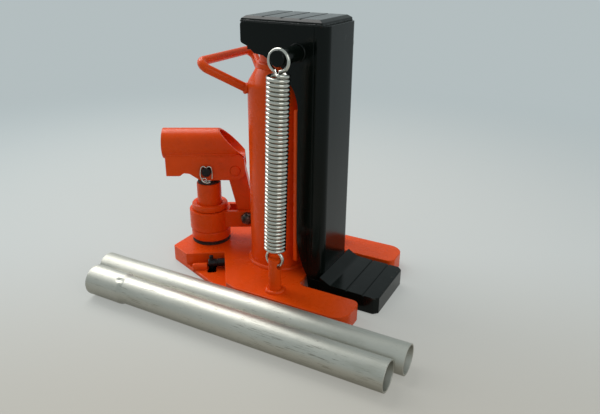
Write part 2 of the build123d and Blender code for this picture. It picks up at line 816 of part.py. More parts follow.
# Tapered link between the clamp ring ears and the lever
link_length = hypot(link_foot_reach - fulcrum_reach, pivot_height - link_foot_height)
link_turn = atan2(pivot_height - link_foot_height, fulcrum_reach - link_foot_reach)
flank_turn = atan2(sqrt(link_length ** 2 - (link_head_width - link_foot_width) ** 2), link_head_width - link_foot_width)
with BuildPart() as link_plate:
    with BuildSketch(linkage_plane.offset(-link_half)):
        flank_points = []
        for turn in (link_turn - flank_turn, link_turn + flank_turn):
            # direction of the flank normal seen from the head towards each side
            away = radians(180) + turn
            flank_points.append((fulcrum_reach + link_head_width * cos(away),
                                 pivot_height + link_head_width * sin(away)))
            flank_points.append((link_foot_reach + link_foot_width * cos(away),
                                 link_foot_height + link_foot_width * sin(away)))
        with BuildLine():
            Polyline(flank_points[0], flank_points[1], flank_points[3], flank_points[2], close=True)
        make_face()
        for reach_at, height_at, round_end in (
            (fulcrum_reach, pivot_height, link_head_width),
            (link_foot_reach, link_foot_height, link_foot_width),
        ):
            with BuildLine():
                CenterArc((reach_at, height_at), round_end, 0, 360)
            make_face()
        for reach_at, height_at, hole in (
            (fulcrum_reach, pivot_height, fulcrum_radius + running),
            (link_foot_reach, link_foot_height, link_bolt_radius + running),
        ):
            with BuildLine():
                CenterArc((reach_at, height_at), hole, 0, 360)
            make_face(mode=Mode.SUBTRACT)
    extrude(amount=2 * link_half)
link_plate.part.label = "link_plate"
export_step(link_plate.part, "parts/link_plate.step")

# Lever socket tube with its slanted front end
with BuildPart() as socket_tube:
    socket_plane = Plane(
        origin=(pump_x + tube_rear * cos(radians(linkage_angle)), tube_rear * sin(radians(linkage_angle)),
                tube_axis_height),
        x_dir=(0, 0, 1),
        z_dir=(cos(radians(linkage_angle)), sin(radians(linkage_angle)), 0),
    )
    with BuildSketch(socket_plane):
        Circle(tube_outer_radius)
        Circle(tube_inner_radius, mode=Mode.SUBTRACT)
    extrude(amount=tube_front - tube_rear)
    with BuildSketch(linkage_plane.offset(-2 * tube_outer_radius)):
        with BuildLine():
            Polyline(
                (slant_from, slant_offset - slant_from),
                (slant_from + 3 * tube_outer_radius, slant_offset - slant_from - 3 * tube_outer_radius),
                (slant_from + 3 * tube_outer_radius, slant_offset),
                (slant_from, slant_offset),
                close=True,
            )
        make_face()
    extrude(amount=4 * tube_outer_radius, mode=Mode.SUBTRACT)
socket_tube.part.label = "socket_tube"
export_step(socket_tube.part, "parts/socket_tube.step")

# Cheeks under the socket tube, cut to its round underside
for cheek_side, name in ((1, "socket_cheek_right"), (-1, "socket_cheek_left")):
    with BuildPart() as cheek:
        with BuildSketch(linkage_plane.offset(cheek_side * cheek_inner)) as profile:
            with BuildLine():
                Polyline(
                    (tube_rear + 2.4, tube_axis_height),
                    (tube_rear + 2.4, cheek_bottom + 4.4),
                    (tube_rear + 15.6, cheek_bottom + 4.4),
                    (tube_rear + 19.6, cheek_bottom + 7.4),
                    (tube_rear + 25.0, cheek_bottom + 6.8),
                    (-7.0, cheek_bottom),
                    (fulcrum_reach, cheek_bottom),
                    (fulcrum_reach, tube_axis_height),
                    close=True,
                )
            make_face()
            fillet([v for v in profile.vertices() if tube_rear + 10 < v.X < -6], 3.0)
            with BuildLine():
                CenterArc((fulcrum_reach, pivot_height), cheek_end_radius, 0, 360)
            make_face()
            with BuildLine():
                Polyline(
                    (fulcrum_reach, pivot_height),
                    (fulcrum_reach + cheek_end_radius, pivot_height),
                    (tube_front, tube_axis_height - tube_outer_radius + 2),
                    (tube_front - 4, tube_axis_height - tube_outer_radius / 2),
                    (fulcrum_reach, tube_axis_height - tube_outer_radius / 2),
                    close=True,
                )
            make_face()
            with BuildLine():
                Polyline(
                    (slant_from, slant_offset - slant_from),
                    (slant_from + 3 * tube_outer_radius, slant_offset - slant_from - 3 * tube_outer_radius),
                    (slant_from + 3 * tube_outer_radius, slant_offset),
                    (slant_from, slant_offset),
                    close=True,
                )
            make_face(mode=Mode.SUBTRACT)
            with BuildLine():
                CenterArc((fulcrum_reach, pivot_height), fulcrum_radius + running / 2, 0, 360)
            make_face(mode=Mode.SUBTRACT)
            with BuildLine():
                CenterArc((0, pivot_height), plunger_pin_radius + running / 2, 0, 360)
            make_face(mode=Mode.SUBTRACT)
        extrude(amount=cheek_side * cheek_thickness)
        with BuildSketch(socket_plane.offset(-1)):
            Circle(tube_outer_radius)
        extrude(amount=tube_front - tube_rear + 2, mode=Mode.SUBTRACT)
    cheek.part.label = name
    export_step(cheek.part, f"parts/{name}.step")

# Round pins of the lever: fulcrum pin at the link, plunger pin at the pump
for name, reach_at, pin_r, overhang in (
    ("fulcrum_pin", fulcrum_reach, fulcrum_radius, 0.8),
    ("plunger_pin", 0.0, plunger_pin_radius, pin_overhang),
):
    with BuildPart() as lever_pin:
        with BuildSketch(linkage_plane.offset(-cheek_outer - overhang)):
            with BuildLine():
                CenterArc((reach_at, pivot_height), pin_r, 0, 360)
            make_face()
        extrude(amount=2 * (cheek_outer + overhang))
        chamfer(lever_pin.edges().filter_by(GeomType.CIRCLE), 0.6)
    lever_pin.part.label = name
    export_step(lever_pin.part, f"parts/{name}.step")

# Plunger with a flat tongue; its slot lets the pin swing with the lever
slot_top = plunger_pin_radius + tongue_slot_play
with BuildPart() as plunger:
    with BuildSketch(Plane(origin=(pump_x, 0, plunger_bottom))):
        Circle(plunger_radius - running)
    extrude(amount=pivot_height - plunger_bottom)
    with BuildSketch(linkage_plane.offset(-tongue_half)):
        with BuildLine():
            Polyline(
                (-plunger_radius + running, tongue_bottom),
                (plunger_radius - running, tongue_bottom),
                (plunger_radius - running, pivot_height),
                (-plunger_radius + running, pivot_height),
                close=True,
            )
        make_face()
        with BuildLine():
            CenterArc((0, pivot_height), slot_top + tongue_wall, 0, 360)
        make_face()
    extrude(amount=2 * tongue_half)
    for flat_side in (-1, 1):
        with BuildSketch(linkage_plane.offset(flat_side * tongue_half)):
            with BuildLine():
                Polyline(
                    (-tube_outer_radius, tongue_bottom),
                    (tube_outer_radius, tongue_bottom),
                    (tube_outer_radius, tube_axis_height),
                    (-tube_outer_radius, tube_axis_height),
                    close=True,
                )
            make_face()
        extrude(amount=flat_side * tube_outer_radius, mode=Mode.SUBTRACT)
    with BuildSketch(linkage_plane.offset(-tongue_half)):
        with BuildLine():
            CenterArc((-tongue_slot_travel, pivot_height), slot_top, 0, 360)
        make_face()
        with BuildLine():
            CenterArc((tongue_slot_travel, pivot_height), slot_top, 0, 360)
        make_face()
        with BuildLine():
            Polyline(
                (-tongue_slot_travel, pivot_height - slot_top),
                (tongue_slot_travel, pivot_height - slot_top),
                (tongue_slot_travel, pivot_height + slot_top),
                (-tongue_slot_travel, pivot_height + slot_top),
                close=True,
            )
        make_face()
    extrude(amount=2 * tongue_half, mode=Mode.SUBTRACT)
    with BuildSketch(Plane(origin=(pump_x, 0, plunger_bottom + 4))):
        Circle(plunger_radius)
        Circle(plunger_radius - 1.8, mode=Mode.SUBTRACT)
    extrude(amount=3.0, mode=Mode.SUBTRACT)
plunger.part.label = "plunger"
export_step(plunger.part, "parts/plunger.step")

with BuildPart() as plunger_seal:
    with BuildSketch(Plane(origin=(pump_x, 0, plunger_bottom + 4))):
        Circle(plunger_radius - running / 2)
        Circle(plunger_radius - 1.8, mode=Mode.SUBTRACT)
    extrude(amount=3.0)
plunger_seal.part.label = "plunger_seal"
export_step(plunger_seal.part, "parts/plunger_seal.step")

# Release valve spindle with its cross pin
with BuildPart() as valve_stem:
    with BuildSketch(valve_plane(-valve_bore_depth + 6)):
        Circle(valve_radius)
    extrude(amount=valve_pin_at + valve_pin_radius + 1.2 + valve_bore_depth - 6)
    chamfer(valve_stem.edges().filter_by(GeomType.CIRCLE), 0.8)
    with BuildSketch(Plane(origin=(*recess_point(valve_pin_at, valve_from_wall), 0))):
        Circle(valve_pin_radius)
    extrude(amount=plate_thickness * 2, mode=Mode.SUBTRACT)
valve_stem.part.label = "valve_stem"
export_step(valve_stem.part, "parts/valve_stem.step")

with BuildPart() as valve_cross_pin:
    with BuildSketch(Plane(origin=(*recess_point(valve_pin_at, valve_from_wall), valve_height - valve_pin_length / 2))):
        Circle(valve_pin_radius)
    extrude(amount=valve_pin_length)
valve_cross_pin.part.label = "valve_cross_pin"
export_step(valve_cross_pin.part, "parts/valve_cross_pin.step")

# Lever tubes: the front one has a swaged end that the plain one fits into
swage_inner = lever_radius + sliding / 2
front_tube_z = swaged_radius + 0.05
with BuildPart() as lever_tube_front:
    with BuildSketch(Plane(origin=(front_tube_start_x, front_tube_y, front_tube_z), x_dir=(1, 0, 0), z_dir=(0, -1, 0))):
        with BuildLine():
            Polyline(
                (0, swage_inner),
                (0, swaged_radius),
                (swaged_length, swaged_radius),
                (swaged_length + swage_taper, lever_radius),
                (front_tube_end_x - front_tube_start_x, lever_radius),
                (front_tube_end_x - front_tube_start_x, lever_radius - lever_wall),
                (swaged_length + swage_taper, lever_radius - lever_wall),
                (swaged_length, swage_inner),
                close=True,
            )
        make_face()
    revolve(axis=Axis((front_tube_start_x, front_tube_y, front_tube_z), (1, 0, 0)))
lever_tube_front.part.label = "lever_tube_front"
export_step(lever_tube_front.part, "parts/lever_tube_front.step")

with BuildPart() as lever_tube_rear:
    with BuildSketch(Plane(origin=(rear_tube_start_x, rear_tube_y, lever_radius + 0.05), z_dir=(1, 0, 0))):
        Circle(lever_radius)
        Circle(lever_radius - lever_wall, mode=Mode.SUBTRACT)
    extrude(amount=rear_tube_end_x - rear_tube_start_x)
lever_tube_rear.part.label = "lever_tube_rear"
export_step(lever_tube_rear.part, "parts/lever_tube_rear.step")
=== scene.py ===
"""Dresses the toe jack: rounded plates, turned parts, welds, wound springs, bent wire, tubes and paint."""

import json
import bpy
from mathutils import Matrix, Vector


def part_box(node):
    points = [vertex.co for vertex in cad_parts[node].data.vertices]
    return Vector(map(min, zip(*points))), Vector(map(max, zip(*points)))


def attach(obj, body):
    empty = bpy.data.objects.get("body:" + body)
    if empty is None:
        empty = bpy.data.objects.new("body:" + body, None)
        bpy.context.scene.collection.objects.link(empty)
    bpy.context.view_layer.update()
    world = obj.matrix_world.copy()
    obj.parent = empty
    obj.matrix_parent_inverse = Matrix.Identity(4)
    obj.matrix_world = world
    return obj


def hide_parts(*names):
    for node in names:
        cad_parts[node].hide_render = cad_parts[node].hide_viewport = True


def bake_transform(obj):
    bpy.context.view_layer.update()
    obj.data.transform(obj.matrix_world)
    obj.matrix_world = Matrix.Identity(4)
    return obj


bl_info = {
    "name": "Toe Jack",
    "version": (1, 0, 0),
    "blender": (4, 5, 0),
    "location": "View3D > Sidebar > Toe Jack",
    "description": "Makes the visible pieces of a hydraulic toe jack on its solid model",
    "category": "Object",
}

from math import atan2, cos, hypot, pi, radians, sin, sqrt, tan

import bmesh
import bpy
from bpy.props import FloatProperty, FloatVectorProperty, IntProperty, PointerProperty
from mathutils import Matrix, Vector

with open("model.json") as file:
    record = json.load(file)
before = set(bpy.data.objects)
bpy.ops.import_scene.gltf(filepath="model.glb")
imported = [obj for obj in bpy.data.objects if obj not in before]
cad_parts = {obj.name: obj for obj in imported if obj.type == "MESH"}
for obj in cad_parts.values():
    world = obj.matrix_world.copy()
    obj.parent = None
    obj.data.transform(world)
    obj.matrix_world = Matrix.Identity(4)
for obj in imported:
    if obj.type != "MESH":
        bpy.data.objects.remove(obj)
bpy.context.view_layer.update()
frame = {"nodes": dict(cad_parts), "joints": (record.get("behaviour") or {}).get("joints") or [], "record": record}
MM = 0.001
UP = (0, 0, 1)
BEAD_STEP = 0.8 * MM
SIDES = {"right": -1, "left": 1}


# Node graphs -------------------------------------------------------------------------------


class Value:
    """A node's output that can be added, multiplied and divided like a number."""

    def __init__(self, graph, socket):
        self.graph, self.socket = graph, socket

    def maths(self, operation, *others, clamp=False):
        settings = {"operation": operation, "use_clamp": clamp}
        return self.graph.node("ShaderNodeMath", settings, dict(enumerate((self, *others))))

    def reflected(self, operation, first):
        return self.graph.node("ShaderNodeMath", {"operation": operation}, {0: first, 1: self})

    def __add__(self, other):
        return self.maths("ADD", other)

    def __sub__(self, other):
        return self.maths("SUBTRACT", other)

    def __rsub__(self, other):
        return self.reflected("SUBTRACT", other)

    def __mul__(self, other):
        return self.maths("MULTIPLY", other)

    def __truediv__(self, other):
        return self.maths("DIVIDE", other)

    __radd__, __rmul__ = __add__, __mul__

    def sine(self):
        return self.maths("SINE")

    def step(self, low, high):
        """0 below low, 1 above high and smooth between them."""
        settings = {"interpolation_type": "SMOOTHSTEP"}
        return self.graph.node("ShaderNodeMapRange", settings, {0: self, 1: low, 2: high, 3: 0.0, 4: 1.0})


class Graph:
    """Adds nodes to one node tree."""

    def __init__(self, tree):
        self.tree = tree
        tree.nodes.clear()

    def node(self, kind, settings=None, sockets=None, output=0):
        made = self.tree.nodes.new(kind)
        for key, value in (settings or {}).items():
            setattr(made, key, value)
        for key, value in (sockets or {}).items():
            for item in value if isinstance(value, list) else [value]:
                if isinstance(item, Value):
                    self.tree.links.new(item.socket, made.inputs[key])
                else:
                    made.inputs[key].default_value = item
        return Value(self, made.outputs[output])

    def output(self, kind, shader):
        end = self.tree.nodes.new(kind)
        self.tree.links.new(shader.socket, end.inputs["Surface"])

    def blend(self, mask, low, high):
        return self.node("ShaderNodeMix", {"data_type": "RGBA"}, {0: mask, 6: low, 7: high}, 2)

    def layers(self, colour, *layers):
        """A colour with each layer of (mask, colour) laid over it."""
        for mask, over in layers:
            colour = self.blend(mask, colour, over)
        return colour


class Finish(Graph):
    """A material whose pattern lies on the piece's own coordinates, in metres."""

    def __init__(self, name):
        self.material = bpy.data.materials.new(name)
        self.material.use_nodes = True
        super().__init__(self.material.node_tree)
        self.place = self.node("ShaderNodeTexCoord", output="Object")
        self.up = self.split(self.node("ShaderNodeNewGeometry", output="Normal"), "Z")

    def split(self, vector, axis):
        return self.node("ShaderNodeSeparateXYZ", None, {0: vector}, axis)

    def noise(self, scale, detail=3.0, stretch=(1, 1, 1), roughness=0.55):
        spot = self.node("ShaderNodeMapping", None, {"Vector": self.place, "Scale": stretch})
        sockets = {"Vector": spot, "Scale": scale, "Detail": detail, "Roughness": roughness}
        return self.node("ShaderNodeTexNoise", None, sockets, "Fac")

    def bump(self, height, depth, strength=1.0):
        return self.node("ShaderNodeBump", None, {"Strength": strength, "Distance": depth, "Height": height})

    def done(self, **sockets):
        sockets = {name.replace("_", " "): value for name, value in sockets.items()}
        shader = self.node("ShaderNodeBsdfPrincipled", None, sockets)
        self.output("ShaderNodeOutputMaterial", shader)
        return self.material


def tint(colour, share=1.0):
    """A colour, darker or lighter by a share, as the nodes take it."""
    return (colour[0] * share, colour[1] * share, colour[2] * share, 1.0)


# Sizes and colours -------------------------------------------------------------------------


def colour_setting(name, description, default):
    return FloatVectorProperty(
        name=name, description=description, default=default, subtype="COLOR", min=0, max=1
    )


def length_setting(name, description, default):
    return FloatProperty(
        name=name, description=description, default=default, subtype="DISTANCE", unit="LENGTH"
    )


def share_setting(name, description, default):
    return FloatProperty(name=name, description=description, default=default, subtype="FACTOR", min=0)


class JackPaint(bpy.types.PropertyGroup):
    red: colour_setting("Red", "Orange-red gloss paint of base, cylinder and pump", (0.80, 0.078, 0.004))
    black: colour_setting("Black", "Black gloss paint of the carriage", (0.0016, 0.0032, 0.0023))
    zinc: colour_setting("Zinc", "Zinc plating of springs, tubes and fasteners", (0.70, 0.69, 0.62))
    steel: colour_setting("Steel", "Ground steel of the ram", (0.52, 0.52, 0.53))
    bare: colour_setting("Bare metal", "Metal that shows where paint is chipped", (0.10, 0.07, 0.05))
    rust: colour_setting("Rust", "Brown stain in the joint under the pad", (0.16, 0.06, 0.025))
    wear: share_setting("Wear", "Share of chips and wear that shows", 1.0)
    edge: length_setting("Edge", "Rounding of the plates' cut edges", 0.7 * MM)


class JackSprings(bpy.types.PropertyGroup):
    turns: IntProperty(name="Turns", description="Turns of each return spring at rest", default=44)
    wire: length_setting("Wire", "Radius of the spring wire", 1.55 * MM)
    coil: length_setting("Coil", "Radius of the coil at the wire's middle", 8.1 * MM)
    eye: length_setting("Eye", "Radius of the upper eye at the wire's middle", 8.4 * MM)
    hook: length_setting("Hook", "Radius of the lower hook at the wire's middle", 7.65 * MM)
    steps: IntProperty(name="Steps", description="Steps of the wound wire in each turn", default=30)
    sides: IntProperty(name="Sides", description="Sides of the wire", default=10)


class JackWelds(bpy.types.PropertyGroup):
    bead: length_setting("Bead", "Radius of a main weld bead", 2.3 * MM)
    small: length_setting("Small bead", "Radius of a light weld bead", 1.5 * MM)
    pitch: length_setting("Ripple", "Distance between ripples along a bead", 2.4 * MM)
    depth: share_setting("Ripple depth", "Height of the ripples as a share of the bead", 0.10)
    lumps: share_setting("Lumps", "Unevenness as a share of the bead", 0.55)


class JackTubes(bpy.types.PropertyGroup):
    radius: length_setting("Radius", "Outer radius of the lever tubes", 12.5 * MM)
    wall: length_setting("Wall", "Wall of the lever tubes", 1.5 * MM)
    swaged: length_setting("Swaged radius", "Outer radius of the widened end", 13.8 * MM)
    swaged_length: length_setting("Swaged length", "Length of the widened end", 36 * MM)
    dent: length_setting("Punch mark", "Depth of the punch mark near the widened end", 1.2 * MM)


class JackStage(bpy.types.PropertyGroup):
    # Floor and near floor paint the light: a lighter painted pool of light round the object, and darker, warmer
    # painted shade in front of it.
    floor: colour_setting("Floor", "Floor around the object", (0.58, 0.61, 0.595))
    near: colour_setting("Near floor", "Warmer floor in front of the object", (0.50, 0.475, 0.41))
    sky: colour_setting("Backdrop", "Far floor and backdrop", (0.455, 0.515, 0.525))
    key: FloatProperty(
        name="Key", description="Power of the large lamp above and to the left", default=14.5, unit="POWER"
    )
    fill: FloatProperty(name="Fill", description="Strength of the even light around", default=0.42)


GROUPS = {
    "paint": JackPaint,
    "springs": JackSprings,
    "welds": JackWelds,
    "tubes": JackTubes,
    "stage": JackStage,
}


def settings(group):
    """The sizes or colours that the user may change, by the name of their group."""
    return getattr(bpy.context.scene, "toe_jack_" + group)


# Finishes ----------------------------------------------------------------------------------


FINISHES, MADE = {}, {}
# Colours of dirt, dust, stains and wear, of painted highlight and of painted shade, that are laid over the
# finishes' own.
DARKER_RED, PAINTED_HIGHLIGHT_RED = (0.26, 0.020, 0.003, 1), (0.92, 0.12, 0.012, 1)
FILM, DUST, SCRATCH = (0.045, 0.055, 0.052, 1), (0.15, 0.15, 0.14, 1), (0.07, 0.07, 0.065, 1)
WORN_TIP, RUST_GRAIN = (0.16, 0.11, 0.075, 1), (0.26, 0.12, 0.05, 1)
OILY_ZINC, GREY_ZINC = (0.045, 0.042, 0.038, 1), (0.26, 0.26, 0.24, 1)
TUBE_STAIN, SPANGLE, SCUFF = (0.34, 0.33, 0.27, 1), (0.42, 0.43, 0.41, 1), (0.22, 0.21, 0.19, 1)
STREAK, PAINTED_SHADE_UNDERSIDE = (0.16, 0.145, 0.11, 1), (0.25, 0.235, 0.19, 1)
BLACKENED, RUBBED = (0.008, 0.008, 0.009, 1), (0.05, 0.045, 0.04, 1)
RUBBER, RUBBER_DIRT, OVERSPRAY = (0.012, 0.011, 0.010, 1), (0.055, 0.022, 0.012, 1), (0.40, 0.040, 0.004, 1)


def registered(material, slot):
    """Lists a maker of a finish with the name of its material and a slot name; the slot is not used."""

    def listed(maker):
        FINISHES[maker.__name__] = (maker, material, slot)
        return maker

    return listed


@registered("orange_red_gloss_paint", "red_paint")
def red_paint(f, paint):
    """Orange-red gloss paint with orange peel, runs, a few chips, darker red patches that are fewer on faces that
    look up, and painted highlights in lighter red patches.
    """
    patches = f.noise(26, 4)
    thin_coat_and_highlight = f.noise(140, 5, roughness=0.65)
    peel = f.noise(1500, 2)
    runs = f.noise(95, 3, (1, 1, 0.22))
    chips = f.noise(520, 6, roughness=0.72).step(0.675, 0.70) * f.noise(48, 2).step(0.56, 0.66)
    # darker red in random patches, fewer on faces that look up
    darker_patches = f.noise(75, 5, roughness=0.7).step(0.52, 0.75) * (1 - f.up.step(-0.2, 0.7) * 0.6)
    colour = f.layers(
        tint(paint.red),
        (patches.step(0.3, 0.7) * 0.5, tint(paint.red, 0.76)),
        (darker_patches * 0.25, DARKER_RED),
        # painted highlight: lighter red in random patches, the same noise that thins the coat
        (thin_coat_and_highlight.step(0.66, 0.8) * 0.15, PAINTED_HIGHLIGHT_RED),
        (chips * (0.9 * paint.wear), tint(paint.bare)),
    )
    height = peel * 0.25 + runs * 1.6 + thin_coat_and_highlight * 0.5 - chips * 0.9
    return f.done(
        Base_Color=colour,
        Roughness=0.17 + patches * 0.12 + thin_coat_and_highlight * 0.08 + chips * 0.35,
        Specular_IOR_Level=0.17,
        Normal=f.bump(height, 0.00035, 0.5),
    )


@registered("black_gloss_paint", "black_paint")
def black_paint(f, paint):
    """Black gloss paint with faint streaks, dust on top and wear along the toe's tip."""
    patches = f.noise(22, 4)
    brushed = f.noise(60, 4, (1, 1, 0.12))
    peel = f.noise(1300, 2)
    dust = f.noise(1700, 3, roughness=0.6).step(0.64, 0.76) * f.noise(34, 3).step(0.40, 0.70)
    film = f.up.step(0.4, 0.95) * f.noise(90, 4).step(0.25, 0.8)
    scratch = f.noise(210, 2, (0.12, 1, 1)).step(0.70, 0.72) * f.noise(50, 2).step(0.5, 0.6)
    x, z = f.split(f.place, "X"), f.split(f.place, "Z")
    tip = x.step(0.1095, 0.1140) * z.step(0.010, 0.017) * f.noise(240, 5, roughness=0.75).step(0.62, 0.67)
    colour = f.layers(
        tint(paint.black),
        (patches * 0.5, tint(paint.black, 1.9)),
        (film * 0.08, FILM),
        (dust * 0.12, DUST),
        (scratch * 0.4, SCRATCH),
        (tip * (0.8 * paint.wear), WORN_TIP),
    )
    return f.done(
        Base_Color=colour,
        Roughness=0.11 + brushed * 0.08 + film * 0.05 + dust * 0.15 + tip * 0.3,
        Specular_IOR_Level=0.17,
        Normal=f.bump(peel * 0.2 + brushed * 0.5 + patches * 0.4 - tip * 0.8, 0.00032, 0.5),
    )


@registered("rust_stained_joint", "black_paint")
def rusty_joint(f, paint):
    """The seam under the pad, black with a few brown stains."""
    rusty = f.noise(150, 6, (0.35, 0.35, 1), roughness=0.7).step(0.56, 0.68)
    grain = f.noise(1500, 4)
    colour = f.blend(rusty * 0.8, tint(paint.black, 1.5), tint(paint.rust))
    colour = f.blend(grain.step(0.5, 0.8) * 0.3 * rusty, colour, RUST_GRAIN)
    return f.done(
        Base_Color=colour,
        Roughness=0.25 + rusty * 0.5,
        Specular_IOR_Level=0.32,
        Normal=f.bump(grain, 0.0003, 0.5),
    )


@registered("bright_zinc_wire", "zinc")
def zinc_wire(f, paint):
    """Bright zinc of the springs and the wire clip."""
    worn = f.noise(90, 3)
    return f.done(
        Base_Color=f.blend(worn, tint(paint.zinc, 0.71), tint(paint.zinc, 0.90)),
        Metallic=1.0,
        Roughness=0.11 + worn * 0.08,
    )


@registered("dull_zinc", "zinc")
def dull_zinc(f, paint):
    """Duller grey zinc of the bolt and nut."""
    worn = f.noise(320, 4, roughness=0.65)
    return f.done(
        Base_Color=f.blend(worn.step(0.42, 0.68), OILY_ZINC, GREY_ZINC),
        Metallic=1.0,
        Roughness=0.28 + worn * 0.22,
        Normal=f.bump(worn, 0.0001, 0.4),
    )


@registered("zinc_plated_tube", "zinc")
def zinc_tube(f, paint):
    """Drawn zinc-plated tube with cloudy patches, spangle and scuffs along its length, and painted shade that
    darkens the faces that look down.
    """
    drawn = f.noise(420, 3, (0.03, 1, 1))
    cloudy = f.noise(30, 5, (0.45, 1, 1), roughness=0.65)
    spangle = f.noise(260, 4, roughness=0.7)
    scuff = f.noise(700, 4, (0.22, 1, 1), roughness=0.7).step(0.60, 0.72) * cloudy.step(0.42, 0.58)
    stain = f.noise(55, 5, (0.3, 1, 1), roughness=0.7).step(0.50, 0.72)
    streaks = f.noise(1100, 3, (0.06, 1, 1), roughness=0.6).step(0.56, 0.66)
    streaks = streaks * f.noise(42, 4, (0.4, 1, 1)).step(0.47, 0.62)
    colour = f.layers(
        tint(paint.zinc, 0.64),
        (cloudy, tint(paint.zinc, 0.85)),
        (stain * 0.35, TUBE_STAIN),
        (spangle.step(0.55, 0.75) * 0.3, SPANGLE),
        (scuff * 0.6, SCUFF),
        (streaks * 0.55, STREAK),
        # painted shade: darker colour on the faces that look down
        ((1 - f.up.step(-0.6, 0.5)) * 0.7, PAINTED_SHADE_UNDERSIDE),
    )
    return f.done(
        Base_Color=colour,
        Metallic=1.0,
        Roughness=0.36 + cloudy * 0.12 + spangle * 0.10 + scuff * 0.15,
        Normal=f.bump(drawn * 0.6 + spangle * 0.8, 0.00012, 0.6),
    )


@registered("ground_steel", "steel")
def ground_steel(f, paint):
    """Ground steel of the ram, its piston and the plunger, with paint overspray on the ram's top."""
    rings = f.noise(2200, 2, (0.05, 0.05, 1))
    oil = f.noise(60, 4)
    sprayed = (f.split(f.place, "Z") + f.noise(130, 3) * 0.003).step(0.2045, 0.2065)
    colour = f.blend(oil, tint(paint.steel, 0.8), tint(paint.steel, 1.1))
    return f.done(
        Base_Color=f.blend(sprayed, colour, tint(paint.red, 0.85)),
        Metallic=1 - sprayed,
        Roughness=0.16 + oil * 0.14 + rings * 0.06 + sprayed * 0.1,
        Normal=f.bump(rings, 0.00005, 0.5),
    )


@registered("blackened_steel", "blackened")
def blackened_steel(f, paint):
    """Blackened steel of the release valve and the plunger pin."""
    worn = f.noise(420, 5, roughness=0.7)
    return f.done(
        Base_Color=f.blend(worn.step(0.52, 0.74), BLACKENED, RUBBED),
        Metallic=0.3,
        Roughness=0.30 + worn * 0.25,
        Specular_IOR_Level=0.35,
        Normal=f.bump(worn, 0.0002, 0.5),
    )


@registered("black_rubber", "rubber")
def black_rubber(f, paint):
    """Dark rubber of the seals, with brown dirt and red overspray where it shows."""
    grain = f.noise(1400, 4)
    dirt = f.noise(170, 5, roughness=0.7).step(0.45, 0.62)
    sprayed = f.noise(420, 4, roughness=0.7).step(0.58, 0.66) * f.noise(90, 3).step(0.42, 0.6)
    return f.done(
        Base_Color=f.layers(RUBBER, (dirt * 0.7, RUBBER_DIRT), (sprayed * 0.8, OVERSPRAY)),
        Roughness=0.50 + grain * 0.25,
        Specular_IOR_Level=0.3,
        Normal=f.bump(grain, 0.0002, 0.5),
    )


def finish_of(name):
    """The material of a finish, made when it is first asked for."""
    if name not in MADE:
        maker, material, _ = FINISHES[name]
        MADE[name] = maker(Finish(material), settings("paint"))
    return MADE[name]


# Making meshes -----------------------------------------------------------------------------


def settle(mesh, name, finish, body, *nodes, angle=38):
    """Turns a mesh into a piece with its finish, on its body, in place of the solids it stands for."""
    piece = bpy.data.objects.new(name, mesh)
    bpy.context.scene.collection.objects.link(piece)
    mesh.shade_smooth()
    if angle:
        mesh.set_sharp_from_angle(angle=radians(angle))
    mesh.materials.clear()
    mesh.materials.append(finish_of(finish))
    if body:
        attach(piece, body)
    if nodes:
        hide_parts(*nodes)
    return piece


def mesh_of(vertices, faces, recalculate=True):
    """A mesh whose doubles are merged and whose faces point outwards, unless it is a plain sheet."""
    same_place = 1e-7
    mesh = bpy.data.meshes.new("made")
    mesh.from_pydata([tuple(v) for v in vertices], [], faces)
    if recalculate:
        grid = bmesh.new()
        grid.from_mesh(mesh)
        bmesh.ops.remove_doubles(grid, verts=grid.verts, dist=same_place)
        bmesh.ops.recalc_face_normals(grid, faces=grid.faces)
        grid.to_mesh(mesh)
        grid.free()
    return mesh


def evaluated(mesh, *modifiers):
    """The mesh with each (type, settings) modifier applied."""
    holder = bpy.data.objects.new("holder", mesh)
    bpy.context.scene.collection.objects.link(holder)
    for kind, values in modifiers:
        modifier = holder.modifiers.new(kind.lower(), kind)
        for key, value in values.items():
            if key in modifier.bl_rna.properties:
                setattr(modifier, key, value)
            else:
                modifier[key] = value
    graph = bpy.context.evaluated_depsgraph_get()
    result = bpy.data.meshes.new_from_object(holder.evaluated_get(graph), depsgraph=graph)
    bpy.data.objects.remove(holder)
    return result


def rounded(node, name, finish, radius=None, segments=2, angle=30):
    """A piece made of a solid's own mesh, with its sharp edges rounded and its flat faces shaded flat."""
    same_place, same_plane = 2e-6, radians(0.6)
    grid = bmesh.new()
    grid.from_mesh(frame["nodes"][node].data)
    bmesh.ops.remove_doubles(grid, verts=grid.verts, dist=same_place)
    bmesh.ops.dissolve_limit(grid, angle_limit=same_plane, verts=grid.verts, edges=grid.edges)
    mesh = bpy.data.meshes.new(name)
    grid.to_mesh(mesh)
    grid.free()
    mesh.shade_smooth()
    radius = settings("paint").edge if radius is None else radius
    if radius:
        bevel = {
            "width": radius,
            "segments": segments,
            "limit_method": "ANGLE",
            "angle_limit": radians(angle),
            "use_clamp_overlap": False,
            "miter_outer": "MITER_ARC",
        }
        flat = {"mode": "FACE_AREA", "weight": 100}
        mesh = evaluated(mesh, ("BEVEL", bevel), ("WEIGHTED_NORMAL", flat))
    return settle(mesh, name, finish, body_of(node), node, angle=None if radius else angle)


def body_of(node):
    """The body that a solid rides on."""
    return next(b for b, members in frame["record"]["behaviour"]["bodies"].items() if node in members)


